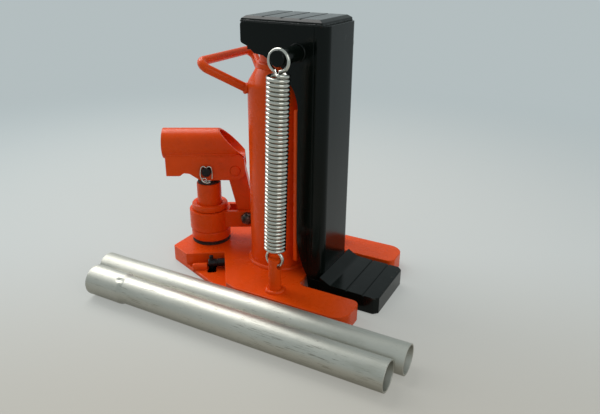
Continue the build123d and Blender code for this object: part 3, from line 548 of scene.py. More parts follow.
def eased(profile, radius, steps=4):
    """A closed profile of (r, h) points whose corners are rounded, each by less than half of its sides."""
    points, count = [], len(profile)
    straight, tiny, share = radians(176), 1e-9, 0.45
    for i, corner in enumerate(profile):
        here = Vector(corner[:2])
        wanted = corner[2] if len(corner) > 2 else radius
        before = Vector(profile[i - 1][:2]) - here
        after = Vector(profile[(i + 1) % count][:2]) - here
        turn = before.angle(after, pi)
        if wanted <= 0 or turn > straight or here.x < tiny:
            points.append(here)
            continue
        reach = min(wanted / tan(turn / 2), before.length * share, after.length * share)
        real = reach * tan(turn / 2)
        centre = here + (before.normalized() + after.normalized()).normalized() * (real / sin(turn / 2))
        first = here + before.normalized() * reach - centre
        last = here + after.normalized() * reach - centre
        sweep = first.angle_signed(last)
        for k in range(steps + 1):
            points.append(centre + Matrix.Rotation(-sweep * k / steps, 2) @ first)
    return points


def turned(profile, centre, direction, segments=72, shape=None):
    """A closed ring of (r, h) points turned about an axis. shape may change a point's radius by its angle."""
    axis = Vector(direction).normalized()
    side = axis.orthogonal().normalized()
    if abs(axis.z) > 0.9:
        side = Vector((1, 0, 0))
    other = axis.cross(side)
    vertices, faces = [], []
    count = len(profile)
    for k in range(segments):
        angle = 2 * pi * k / segments
        for r, h in profile:
            r = shape(r, angle) if shape else r
            vertices.append(Vector(centre) + axis * h + (side * cos(angle) + other * sin(angle)) * r)
        for i in range(count):
            j, n = (i + 1) % count, ((k + 1) % segments) * count
            faces.append((k * count + i, k * count + j, n + j, n + i))
    return mesh_of(vertices, faces)


def lathe(profile, place, way, segments, name, finish, body, *nodes, radius=0, steps=4, shape=None):
    """A piece turned from a profile with eased corners."""
    mesh = turned(eased(profile, radius, steps), place, way, segments, shape)
    return settle(mesh, name, finish, body, *nodes)


def hexagon(radius, height):
    """Profile and radius rule of a nut or bolt head with chamfered corners."""
    outside, chamfer, crown, core = radius * 1.01, height * 0.82, radius * 0.88, radius * 0.86

    def shape(r, angle):
        flat = radius * cos(pi / 6) / cos((angle % (pi / 3)) - pi / 6)
        return min(r, flat) if r > core else r

    return [(0, 0), (outside, 0), (outside, chamfer), (crown, height), (0, height)], shape


# Geometry node trees -----------------------------------------------------------------------


def new_tree(name, sizes):
    """A geometry node tree with a geometry input, the named sizes and a geometry output."""
    tree = bpy.data.node_groups.new(name, "GeometryNodeTree")
    face = tree.interface
    face.new_socket(name="Geometry", in_out="INPUT", socket_type="NodeSocketGeometry")
    for label, kind, default in sizes:
        socket = face.new_socket(name=label, in_out="INPUT", socket_type="NodeSocket" + kind)
        if default is not None:
            socket.default_value = default
    face.new_socket(name="Geometry", in_out="OUTPUT", socket_type="NodeSocketGeometry")
    graph = Graph(tree)
    entry = tree.nodes.new("NodeGroupInput")
    given = {socket.name: Value(graph, socket) for socket in entry.outputs if socket.name}
    return tree, graph, given


def close_tree(tree, graph, geometry, material):
    """Ends a tree with real geometry in the given material."""
    solid = graph.node("GeometryNodeRealizeInstances", None, {0: geometry})
    solid = graph.node("GeometryNodeSetMaterial", None, {0: solid, 2: material})
    leave = tree.nodes.new("NodeGroupOutput")
    tree.links.new(solid.socket, leave.inputs[0])
    return tree


def bead_tree():
    """A round bar along a path: smooth for rod and wire, rippled and lumpy for a weld bead."""
    sizes = [
        ("Radius", "Float", 0.002),
        ("Step", "Float", 0.0006),
        ("Sides", "Int", 12),
        ("Ripple pitch", "Float", 0.0024),
        ("Ripple depth", "Float", 0.0),
        ("Lumps", "Float", 0.0),
        ("Material", "Material", None),
    ]
    tree, g, given = new_tree("Bead along a path", sizes)
    path = g.node("GeometryNodeMeshToCurve", None, {0: given["Geometry"]})
    path = g.node("GeometryNodeResampleCurve", {"mode": "LENGTH"}, {0: path, "Length": given["Step"]})
    along = g.node("GeometryNodeSplineParameter", output="Length")
    ripple = (along * (2 * pi) / given["Ripple pitch"]).sine() * given["Ripple depth"]
    place = g.node("GeometryNodeInputPosition")
    noise = g.node("ShaderNodeTexNoise", None, {"Vector": place, "Scale": 210.0, "Detail": 3.0}, "Fac")
    scale = 1 + ripple + (noise - 0.5) * given["Lumps"]
    sockets = {"Resolution": given["Sides"], "Radius": given["Radius"]}
    ring = g.node("GeometryNodeCurvePrimitiveCircle", None, sockets)
    bar = g.node("GeometryNodeCurveToMesh", None, {0: path, 1: ring, "Scale": scale, "Fill Caps": True})
    return close_tree(tree, g, bar, given["Material"])


def coil_tree():
    """A wound wire between two bent ends that are given as edges in the coil's own place."""
    sizes = [
        ("Turns", "Float", 40.0),
        ("Coil radius", "Float", 0.0085),
        ("Height", "Float", 0.15),
        ("Wire radius", "Float", 0.0015),
        ("Steps", "Int", 30),
        ("Sides", "Int", 10),
        ("Foot", "Vector", (0, 0, 0)),
        ("Lean", "Vector", (0, 0, 0)),
        ("Material", "Material", None),
    ]
    tree, g, given = new_tree("Wound coil", sizes)
    sockets = {
        "Resolution": given["Steps"],
        "Rotations": given["Turns"],
        "Start Radius": given["Coil radius"],
        "End Radius": given["Coil radius"],
        "Height": given["Height"],
    }
    coil = g.node("GeometryNodeCurveSpiral", None, sockets)
    ends = g.node("GeometryNodeMeshToCurve", None, {0: given["Geometry"]})
    wire = g.node("GeometryNodeJoinGeometry", None, {0: [coil, ends]})
    sockets = {"Resolution": given["Sides"], "Radius": given["Wire radius"]}
    ring = g.node("GeometryNodeCurvePrimitiveCircle", None, sockets)
    bar = g.node("GeometryNodeCurveToMesh", None, {0: wire, 1: ring, "Fill Caps": True})
    turn = g.node("FunctionNodeEulerToRotation", None, {0: given["Lean"]})
    bar = g.node("GeometryNodeTransform", None, {0: bar, "Translation": given["Foot"], "Rotation": turn})
    return close_tree(tree, g, bar, given["Material"])


def grown(tree, paths, finish, closed=False, **sizes):
    """The mesh that a tree grows along the given paths, each a list of points."""
    if tree not in MADE:
        MADE[tree] = {"bead": bead_tree, "coil": coil_tree}[tree]()
    group = MADE[tree]
    guide = bpy.data.meshes.new("guide")
    points, edges = [], []
    for path in paths:
        first = len(points)
        points += [tuple(p) for p in path]
        edges += [(first + i, first + i + 1) for i in range(len(path) - 1)]
        if closed:
            edges.append((len(points) - 1, first))
    guide.from_pydata(points, edges, [])
    values = {"node_group": group}
    for item in group.interface.items_tree:
        key = item.name.lower().replace(" ", "_")
        if item.in_out == "INPUT" and key in sizes:
            values[item.identifier] = sizes[key]
        if item.in_out == "INPUT" and key == "material":
            values[item.identifier] = finish_of(finish)
    return evaluated(guide, ("NODES", values))


def smooth_path(points, steps):
    """Points along a smooth curve through the given ones."""
    points = [Vector(p) for p in points]
    count = len(points)
    out = []
    for i in range(count - 1):
        a, b, c, d = (points[min(max(i + k, 0), count - 1)] for k in (-1, 0, 1, 2))
        for k in range(steps):
            t = k / steps
            bend = (2 * a - 5 * b + 4 * c - d) * t**2 + (3 * b - a - 3 * c + d) * t**3
            out.append(0.5 * (2 * b + (c - a) * t + bend))
    return out + [points[-1]]


def circle_path(centre, radius, direction=UP, count=48):
    """Points evenly round a circle."""
    axis = Vector(direction).normalized()
    side = Vector((1, 0, 0)) if abs(axis.x) < 0.9 else Vector((0, 1, 0))
    side = (side - axis * side.dot(axis)).normalized()
    other = axis.cross(side)
    angles = [radians(360 * k / count) for k in range(count)]
    return [Vector(centre) + (side * cos(a) + other * sin(a)) * radius for a in angles]


def weld(name, finish, body, paths, size=1.0, closed=False, small=False, ripple=1.0):
    """A bead of weld along each path, in a size and a ripple that are shares of the usual ones."""
    w = settings("welds")
    radius = (w.small if small else w.bead) * size
    sizes = {"ripple_pitch": w.pitch, "ripple_depth": w.depth * ripple, "lumps": w.lumps * ripple}
    mesh = grown("bead", paths, finish, closed, radius=radius, step=BEAD_STEP, sides=10, **sizes)
    return settle(mesh, name, finish, body, angle=None)


def rod(name, finish, body, path, radius, *nodes, step=BEAD_STEP, sides=20):
    """A smooth bent bar or wire."""
    mesh = grown("bead", [path], finish, radius=radius, step=step, sides=sides)
    return settle(mesh, name, finish, body, *nodes, angle=50)


# Places read from the solids ---------------------------------------------------------------


def middle(node):
    """The middle of a solid's box."""
    low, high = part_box(node)
    return [(a + b) / 2 for a, b in zip(low, high)]


def radius_of(node):
    """Half of a round solid's width."""
    low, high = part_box(node)
    return (high[0] - low[0]) / 2


def joint(name):
    return next(j for j in frame["joints"] if j["name"] == name)


PUMP = Vector(joint("pump_turn")["pos_m"][:2] + [0])
FULCRUM = Vector(joint("lever_pivot")["pos_m"])
ACROSS = Vector(joint("lever_pivot")["axis"])
REACH = Vector((ACROSS.y, -ACROSS.x, 0))
LINK_FOOT = Vector(joint("link_swing")["pos_m"])
VALVE = Vector(joint("valve_turn")["pos_m"])
VALVE_WAY = Vector(joint("valve_turn")["axis"])
PLUNGER_PIN = Vector((PUMP.x, PUMP.y, FULCRUM.z))
PLATE_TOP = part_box("base_plate")[1][2]
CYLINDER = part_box("cylinder_body")[1][0]
SHOULDER = 187 * MM
CHEEK_FACE = 13 * MM


def linkage(s, t, z):
    """A point of the lever linkage in metres: s out from the pump, t to its left side, z above ground."""
    return PUMP + REACH * s + ACROSS * t + Vector((0, 0, z))


# Operators ---------------------------------------------------------------------------------


class JackOperator:
    """Shared settings of the operators."""

    bl_options = {"REGISTER", "UNDO"}

    def execute(self, context):
        self.make()
        return {"FINISHED"}


class TOEJACK_OT_base(JackOperator, bpy.types.Operator):
    """Make the base plate with its spring posts"""

    bl_idname = "toe_jack.base"
    bl_label = "Base plate and posts"

    def make(self):
        rounded("base_plate", "base_plate_painted", "red_paint", 0.9 * MM, segments=3)
        for side in SIDES:
            rounded("spring_post_" + side, "spring_post_painted_" + side, "red_paint", 0, angle=35)
            x, y, _ = middle("spring_post_" + side)
            ring = circle_path((x, y, PLATE_TOP + 0.6 * MM), 6.9 * MM, count=30)
            weld("post_weld_" + side, "red_paint", "base", [ring], closed=True)


class TOEJACK_OT_cylinder(JackOperator, bpy.types.Operator):
    """Make the cylinder, its top ring, the ram and the foot weld"""

    bl_idname = "toe_jack.cylinder"
    bl_label = "Cylinder and ram"

    def make(self):
        low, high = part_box("cylinder_body")
        ram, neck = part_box("ram")[1][0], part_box("wiper_ring")[1][0]
        bore, mouth, recess = 21 * MM, ram + 0.1 * MM, high[2] - 21 * MM
        profile = [
            (bore, low[2], 0),
            (CYLINDER, low[2], 0),
            (CYLINDER, SHOULDER, 9 * MM),
            (neck, high[2], 1.2 * MM),
            (mouth, high[2], 0.3 * MM),
            (mouth, recess, 0),
            (bore, recess, 0),
        ]
        lathe(profile, (0, 0, 0), UP, 128, "cylinder_painted", "red_paint", "base", "cylinder_body", steps=8)
        low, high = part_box("wiper_ring")
        lip = ram + 0.15 * MM
        profile = [
            (lip, low[2], 0),
            (neck, low[2], 0.3 * MM),
            (neck, high[2], 1.2 * MM),
            (ram + 1.1 * MM, high[2], 0.4 * MM),
            (lip, high[2] - 0.9 * MM, 0.2 * MM),
        ]
        lathe(profile, (0, 0, 0), UP, 96, "wiper_ring_turned", "red_paint", "base", "wiper_ring")
        for node in ("ram", "ram_piston", "piston_seal"):
            rounded(node, node + "_turned", "black_rubber" if "seal" in node else "ground_steel", 0, angle=40)
        foot = circle_path((0, 0, PLATE_TOP + 0.3 * MM), CYLINDER + 0.4 * MM, count=120)
        weld("cylinder_foot_weld", "red_paint", "base", [foot], 1.15, closed=True, ripple=0.4)


class TOEJACK_OT_handle(JackOperator, bpy.types.Operator):
    """Make the bent carrying handle with its welds"""

    bl_idname = "toe_jack.handle"
    bl_label = "Carrying handle"

    def make(self):
        foot, corner = Vector((-20.5, 11.3, 178.6)) * MM, Vector((-57, 45, 205.3)) * MM
        bend, thickness, bead_ring = 6 * MM, 3.9 * MM, 3.7 * MM
        weld_place, skin = Vector((-24.9, 15.3, 181.8)) * MM, CYLINDER + 0.6 * MM
        path, beads = [], []
        for side in (-1, 1):
            start, turn, tip = (Vector((v.x, v.y * side, v.z)) for v in (foot, corner, weld_place))
            back, inward = (start - turn).normalized(), Vector((0, -side, 0))
            half = back.angle(inward) / 2
            reach = bend / tan(half)
            centre = turn + (back + inward).normalized() * (bend / sin(half))
            a, b = turn + back * reach - centre, turn + inward * reach - centre
            leg = [start] + [centre + a.slerp(b, k / 10).normalized() * a.length for k in range(11)]
            path = leg if side < 0 else path + leg[::-1]
            ring = circle_path(tip, bead_ring, -back, count=24)
            for point in ring:
                flat = hypot(point.x, point.y)
                if flat < skin or point.z > SHOULDER:
                    point.xy = point.xy * (skin / flat)
            beads.append(ring)
        rod("handle_rod", "red_paint", "base", path, thickness, "carrying_handle", step=1.2 * MM, sides=24)
        weld("handle_welds", "red_paint", "base", beads, 1.1, closed=True, small=True, ripple=0.8)


class TOEJACK_OT_rail(JackOperator, bpy.types.Operator):
    """Make the guide rail, its shoes and the rail's stitch welds"""

    bl_idname = "toe_jack.rail"
    bl_label = "Guide rail"

    def make(self):
        rounded("guide_rail", "guide_rail_painted", "red_paint", 1.1 * MM, segments=3)
        for side in SIDES:
            rounded("guide_shoe_" + side, "guide_shoe_painted_" + side, "black_paint", 0.3 * MM, segments=1)
        aside, length, seams = 13.4 * MM, 24 * MM, []
        x = sqrt(CYLINDER**2 - aside**2) + 0.6 * MM
        for side in (-1, 1):
            for start in (34 * MM, 72 * MM, 110 * MM, 140 * MM):
                seams.append([Vector((x, aside * side, z)) for z in (start, start + length)])
        weld("rail_welds", "red_paint", "base", seams, 0.9)


class TOEJACK_OT_carriage(JackOperator, bpy.types.Operator):
    """Make the black carriage: column plates, head, pad and toe"""

    bl_idname = "toe_jack.carriage"
    bl_label = "Carriage"

    def make(self):
        for node, edge in (("front_plate", 0.5), ("head_block", 0.5), ("top_pad", 0.45), ("toe_plate", 0.3)):
            rounded(node, node + "_painted", "black_paint", edge * MM)
        for side in SIDES:
            rounded("side_plate_" + side, "side_plate_painted_" + side, "black_paint", 0.5 * MM)
        low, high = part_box("top_pad")
        z, inset = low[2] + 0.2 * MM, 0.5 * MM
        left, right, near, far = low[0] + inset, high[0] - inset, low[1] + inset, high[1] - inset
        around = [Vector((x, y, z)) for x, y in ((left, near), (right, near), (right, far), (left, far))]
        weld("pad_joint", "rusty_joint", "carriage", [around], 0.8, closed=True, small=True, ripple=1.5)


class TOEJACK_OT_spring_pins(JackOperator, bpy.types.Operator):
    """Make the grooved pins that hold the upper spring eyes"""

    bl_idname = "toe_jack.spring_pins"
    bl_label = "Spring pins"

    def make(self):
        for side, sign in SIDES.items():
            node = "spring_pin_" + side
            low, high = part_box(node)
            x, _, z = middle(node)
            length, radius = high[1] - low[1], radius_of(node)
            deep, ease = radius - 1.7 * MM, 0.3 * MM
            start = low[1] if sign > 0 else high[1]
            groove, wide = length - 5.6 * MM, 1.9 * MM
            profile = [
                (0, 0),
                (radius, 0, 0),
                (radius, groove - wide, ease),
                (deep, groove - wide + ease, 0.5 * MM),
                (deep, groove + wide - ease, 0.5 * MM),
                (radius, groove + wide, ease),
                (radius, length, 1.0 * MM),
                (0, length),
            ]
            name = "spring_pin_turned_" + side
            lathe(profile, (x, start, z), (0, sign, 0), 64, name, "black_paint", "carriage", node)
            ring = circle_path((x, start + sign * 0.5 * MM, z), radius + 0.5 * MM, (0, 1, 0), count=40)
            weld("spring_pin_weld_" + side, "black_paint", "carriage", [ring], 0.6, closed=True, small=True)


class TOEJACK_OT_springs(JackOperator, bpy.types.Operator):
    """Wind the two return springs with their hooks"""

    bl_idname = "toe_jack.springs"
    bl_label = "Return springs"

    def make(self):
        s = settings("springs")
        # The wire's radius in the solid's own hooks, how far the hook stands back from the eye, and the
        # way from each ring's wire to the coil.
        solid_wire, behind, gap = 1.4 * MM, 5 * MM, 2.4 * MM
        for side in SIDES:
            low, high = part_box("return_spring_" + side)
            y = (low[1] + high[1]) / 2
            eye = Vector((high[0] - s.eye - solid_wire, y, high[2] - s.eye - solid_wire))
            hook = Vector((eye.x - behind, y, low[2] + s.hook + solid_wire))
            way, length = (eye - hook).normalized(), (eye - hook).length
            lean = atan2(eye.x - hook.x, eye.z - hook.z)
            start = s.hook + gap
            height = length - s.eye - gap - start
            paths = []
            # Each end leaves the coil, crosses to its middle and goes round as an eye or a hook.
            # Angles are in degrees; last is where the wire ends.
            for sign, base, radius, centre, last in (
                (1, height, s.eye, length - start, -84),
                (-1, 0.0, s.hook, -start, -58),
            ):
                keys = []
                for angle in (0, 20, 40, 58):
                    a, rise = radians(angle) * sign, sign * 0.012 * angle * s.wire
                    keys.append(Vector((s.coil * cos(a), -s.coil * sin(a), base + rise)))
                keys.append(Vector((1.2 * MM, -4.6 * MM * sign, base + sign * 1.5 * MM)))
                for angle in (252, 234, 216, 198, *range(180, last + 12, -20), last):
                    a, drift = radians(angle), 0.45 * MM * sign * max(0, (40 - angle) / 98)
                    keys.append(Vector((radius * cos(a), drift, centre + sign * radius * sin(a))))
                paths.append(smooth_path(keys, 5))
            foot = hook + way * start
            sizes = {"turns": float(s.turns), "coil_radius": s.coil, "height": height, "wire_radius": s.wire}
            sizes |= {"steps": s.steps, "sides": s.sides, "foot": tuple(foot), "lean": (0, lean, 0)}
            mesh = grown("coil", paths, "zinc_wire", **sizes)
            piece = settle(mesh, "wound_spring_" + side, "zinc_wire", None, "return_spring_" + side, angle=60)
            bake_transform(piece)


class TOEJACK_OT_pump(JackOperator, bpy.types.Operator):
    """Make the pump body, its gasket and collar, the clamp ring and the plunger"""

    bl_idname = "toe_jack.pump"
    bl_label = "Pump"

    def make(self):
        low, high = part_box("pump_body")
        gasket, collar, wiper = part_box("pump_gasket"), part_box("retaining_collar"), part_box("barrel_wiper")
        seat, barrel, bore, core = 14 * MM, 12.2 * MM, 8.05 * MM, 0.5 * MM
        floor, top, flange = low[2] + 8 * MM, high[2], radius_of("pump_body")
        under, flange_top = gasket[1][2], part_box("clamp_ring")[0][2] - 0.35 * MM
        profile = [
            (bore, floor, 0),
            (core, floor, 0),
            (core, low[2], 0),
            (seat, low[2], 0),
            (seat, under, 0),
            (flange - 1.2 * MM, under, 0.3 * MM),
            (flange, under + 1.2 * MM, 0.5 * MM),
            (flange, flange_top, 1.9 * MM),
            (seat, flange_top, 0.2 * MM),
            (seat, collar[0][2], 0.2 * MM),
            (barrel, collar[0][2], 0),
            (barrel, top, 1.2 * MM),
            (bore, top, 0.4 * MM),
        ]
        lathe(profile, PUMP, UP, 96, "pump_body_turned", "red_paint", "base", "pump_body")
        outer, inner = radius_of("pump_gasket"), seat + 0.1 * MM
        profile = [
            (inner, gasket[0][2], 0),
            (outer, gasket[0][2], 1.0 * MM),
            (outer - 0.9 * MM, (gasket[0][2] + under) / 2, 0.8 * MM),
            (outer, under - 1.2 * MM, 0.8 * MM),
            (outer - 0.8 * MM, under, 0.3 * MM),
            (inner, under, 0),
        ]
        lathe(profile, PUMP, UP, 80, "pump_gasket_moulded", "black_rubber", "base", "pump_gasket")
        outer, inner = radius_of("retaining_collar"), barrel + 0.1 * MM
        profile = [
            (inner, collar[0][2], 0),
            (outer, collar[0][2], 0.9 * MM),
            (outer, collar[1][2], 2.2 * MM),
            (barrel + 2.2 * MM, collar[1][2], 0.4 * MM),
            (inner, collar[1][2] - 1.2 * MM, 0.3 * MM),
        ]
        lathe(profile, PUMP, UP, 88, "retaining_collar_turned", "red_paint", "base", "retaining_collar")
        outer = radius_of("barrel_wiper")
        profile = [
            (bore, wiper[0][2], 0),
            (outer, wiper[0][2], 0.4 * MM),
            (outer - 0.8 * MM, wiper[1][2], 0.6 * MM),
            (bore, wiper[1][2], 0.4 * MM),
        ]
        lathe(profile, PUMP, UP, 64, "barrel_wiper_moulded", "black_rubber", "base", "barrel_wiper")
        rounded("clamp_ring", "clamp_ring_painted", "red_paint", 0.5 * MM, angle=34)
        rounded("plunger", "plunger_ground", "ground_steel", 0.25 * MM, segments=1, angle=34)
        rounded("plunger_seal", "plunger_seal_moulded", "black_rubber", 0)
        foot = circle_path(PUMP + Vector((0, 0, PLATE_TOP + 0.5 * MM)), 18.4 * MM, count=80)
        weld("pump_foot_sealant", "black_rubber", "base", [foot], 0.6, closed=True, small=True)


class TOEJACK_OT_linkage(JackOperator, bpy.types.Operator):
    """Make the link plate with its bolt, thread and nut"""

    bl_idname = "toe_jack.linkage"
    bl_label = "Link and bolt"

    def make(self):
        rounded("link_plate", "link_plate_painted", "red_paint", angle=34)
        near, far = LINK_FOOT - ACROSS * CHEEK_FACE, LINK_FOOT + ACROSS * CHEEK_FACE
        shank, thread, under_head, tip = 4 * MM, 3.9 * MM, -30.4 * MM, 6.5 * MM
        metal = ("dull_zinc", "pump_swivel")
        profile, shape = hexagon(6.5 * MM, 4.5 * MM)
        hexagonal = {"radius": 0.3 * MM, "steps": 2, "shape": shape}
        lathe(profile, near, -ACROSS, 72, "link_nut_hexagon", *metal, "link_nut", **hexagonal)
        bolt = [(0, under_head), (shank, under_head, 0), (shank, tip, 0.7 * MM), (0, tip)]
        lathe(bolt, near, -ACROSS, 40, "link_bolt_shank", *metal, "link_bolt")
        lathe(profile, far, ACROSS, 72, "link_bolt_head", *metal, **hexagonal)
        foot, lean = near - ACROSS * 4.4 * MM, (-ACROSS).to_track_quat("Z", "Y").to_euler()
        sizes = {"turns": 1.6, "coil_radius": thread, "height": 2.0 * MM, "wire_radius": 0.42 * MM}
        sizes |= {"steps": 24, "sides": 4, "foot": tuple(foot), "lean": tuple(lean)}
        mesh = grown("coil", [[(thread, 0, 0), (thread, 0, 0.01 * MM)]], "dull_zinc", **sizes)
        settle(mesh, "link_bolt_thread", *metal, angle=30)


class TOEJACK_OT_socket(JackOperator, bpy.types.Operator):
    """Make the lever socket, its cheeks, pins, welds and the wire clip"""

    bl_idname = "toe_jack.socket"
    bl_label = "Lever socket"

    def make(self):
        rounded("socket_tube", "socket_tube_painted", "red_paint", 0.4 * MM, angle=40)
        for side in SIDES:
            rounded("socket_cheek_" + side, "socket_cheek_painted_" + side, "red_paint", angle=34)
        # Millimetres: the tube's radius, its axis above ground and the seams' place beside it.
        tube, axis, aside = 15, 118.9, 12.6
        z = (axis - sqrt(tube**2 - aside**2)) * MM
        seams = [[linkage(s * MM, t * MM, z) for s in (-37.5, -20, 0, 15, 29)] for t in (-aside, aside)]
        weld("cheek_welds", "red_paint", "lever_socket", seams, 0.9, small=True, ripple=0.15)
        clip = 2.6 * MM
        for name, spot, radius, overhang, finish in (
            ("fulcrum_pin", FULCRUM, 5.0 * MM, 0.8 * MM, "red_paint"),
            ("plunger_pin", PLUNGER_PIN, 4.5 * MM, 5.0 * MM, "blackened_steel"),
        ):
            half = CHEEK_FACE + overhang
            profile = [(0, -half), (radius, -half, 0.7 * MM), (radius, half, 0.7 * MM), (0, half)]
            if name == "plunger_pin":
                at, w, deep = half - clip, 0.9 * MM, radius - 0.7 * MM
                cut = [(radius, at - w), (deep, at - w), (deep, at + w), (radius, at + w)]
                profile[2:2] = [(r, -h, 0.1 * MM) for r, h in reversed(cut)]
                profile[-2:-2] = [(r, h, 0.1 * MM) for r, h in cut]
            lathe(profile, spot, ACROSS, 48, name + "_turned", finish, "lever_socket", name)
        # The wire clip in the pin's groove: points in millimetres, along the lever and up from the pin.
        left = [(-0.3, 3.9), (-1.2, 5.2), (-2.9, 5.7), (-4.7, 4.3), (-5.5, 1.0), (-5.9, -3.0), (-5.2, -6.2)]
        loop_x, loop_z, loop = -2.0, -8.2, 2.2
        left += [(-3.9, loop_z)]
        for angle in range(200, 541, 34):
            left.append((loop_x + loop * cos(radians(angle)), loop_z + loop * sin(radians(angle))))
        left += [(-1.6, -10.2), (1.2, -10.8), (3.4, -9.9)]
        right = [(0.6, 3.9), (1.6, 5.1), (3.3, 5.5), (4.9, 4.1), (5.5, 1.0), (5.7, -3.5), (5.4, -7.0)]
        for name, points, lift in (("left", left, 0.125 * MM), ("right", right, 0.0)):
            path = []
            for k, (along, up) in enumerate(points):
                depth = clip - half - lift * max(0, k - 6)
                path.append(PLUNGER_PIN + ACROSS * depth + REACH * along * MM + Vector((0, 0, up * MM)))
            name, path = "plunger_pin_clip_" + name, smooth_path(path, 6)
            rod(name, "zinc_wire", "lever_socket", path, 0.7 * MM, step=0.4 * MM, sides=10)


class TOEJACK_OT_valve(JackOperator, bpy.types.Operator):
    """Make the release valve's spindle and cross pin"""

    bl_idname = "toe_jack.valve"
    bl_label = "Release valve"

    def make(self):
        low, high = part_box("valve_cross_pin")
        pin, radius, half = middle("valve_cross_pin"), radius_of("valve_cross_pin"), (high[2] - low[2]) / 2
        metal = ("blackened_steel", "release_valve")
        profile = [(0, -half), (radius, -half, 0.6 * MM), (radius, half, 0.6 * MM), (0, half)]
        lathe(profile, pin, UP, 32, "valve_pin_turned", *metal, "valve_cross_pin")
        stem, waist, inside = 4 * MM, 3.3 * MM, 20 * MM
        end = -((VALVE - Vector(pin)).dot(VALVE_WAY) + 3.2 * MM)
        profile = [
            (0, end),
            (stem, end, 0.9 * MM),
            (stem, end + 7.2 * MM, 0.3 * MM),
            (waist, end + 7.5 * MM, 0.2 * MM),
            (waist, end + 9.0 * MM, 0.2 * MM),
            (stem, end + 9.3 * MM, 0.3 * MM),
            (stem, inside, 0.8 * MM),
            (0, inside),
        ]
        lathe(profile, VALVE, VALVE_WAY, 48, "valve_spindle_turned", *metal, "valve_stem")


class TOEJACK_OT_tubes(JackOperator, bpy.types.Operator):
    """Make the two lever tubes, one with a widened end and a punch mark"""

    bl_idname = "toe_jack.tubes"
    bl_label = "Lever tubes"

    def make(self):
        t = settings("tubes")
        r, inner = t.radius, t.radius - t.wall
        low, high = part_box("lever_tube_rear")
        length = high[0] - low[0]
        place = (low[0], *middle("lever_tube_rear")[1:])
        profile = [(inner, 0), (r, 0), (r, length), (inner, length)]
        tube = ("lever_tube_plain", "zinc_tube", "rear_tube", "lever_tube_rear")
        lathe(profile, place, (1, 0, 0), 96, *tube, radius=0.35 * MM, steps=2)
        low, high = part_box("lever_tube_front")
        length, wide, narrow = high[0] - low[0], t.swaged_length, t.swaged_length + 4 * MM
        bore = t.swaged - 1.1 * MM
        stations = [wide * k / 24 for k in range(1, 24)]
        profile = [(bore, 0, 0.3 * MM), (t.swaged, 0, 0.3 * MM)]
        profile += [(t.swaged, x, 0) for x in stations]
        profile += [(t.swaged, wide, 3 * MM), (r, narrow, 3 * MM)]
        profile += [(r, length, 0.35 * MM), (inner, length, 0.35 * MM)]
        profile += [(inner, narrow, 2 * MM), (bore, wide, 2 * MM)]
        profile += [(bore, x, 0) for x in reversed(stations)]
        place = Vector((low[0], *middle("lever_tube_front")[1:]))
        mesh = turned(eased(profile, 0, 3), place, (1, 0, 0), 128)
        # The punch mark stands this far along the tube and reaches this far round its middle.
        mark_along, mark_reach = 35 * MM, 3.2 * MM
        mark = place + Vector((mark_along, 0, 0)) + Vector((0, -0.45, 0.89)).normalized() * t.swaged
        for v in mesh.vertices:
            near = (v.co - mark).length / mark_reach
            if near < 1:
                axis = place + Vector((v.co.x - place.x, 0, 0))
                v.co += (axis - v.co).normalized() * t.dent * (1 - near**2) ** 2
        settle(mesh, "lever_tube_widened", "zinc_tube", "front_tube", "lever_tube_front")


# Stage -------------------------------------------------------------------------------------

PHOTO_AZIMUTH, PHOTO_PITCH, PHOTO_ROLL = radians(27.92), radians(23.38), radians(0.53)
PHOTO_PLACE = (0.26115, -0.45336, 0.29411)
PHOTO_FOCAL, PHOTO_WIDTH, SENSOR = 596.57, 600, 36.0
FILL_COLOUR, FLOOR_HALF = (0.93, 0.97, 1.0, 1), 20.0
# Name, place, aim, width, share of the key lamp's power and colour of each lamp.
LAMPS = (
    ("key", (-0.80, 0.40, 1.34), (0, 0, 0.08), 1.1, 1.0, (1.0, 0.99, 0.97)),
    ("left_fill", (-1.4, -0.05, 0.9), (0, 0, 0.1), 1.2, 0.56, (1.0, 0.99, 0.97)),
    ("right_fill", (1.35, -0.60, 0.75), (0, 0, 0.1), 1.2, 0.32, (1.0, 1.0, 1.0)),
)


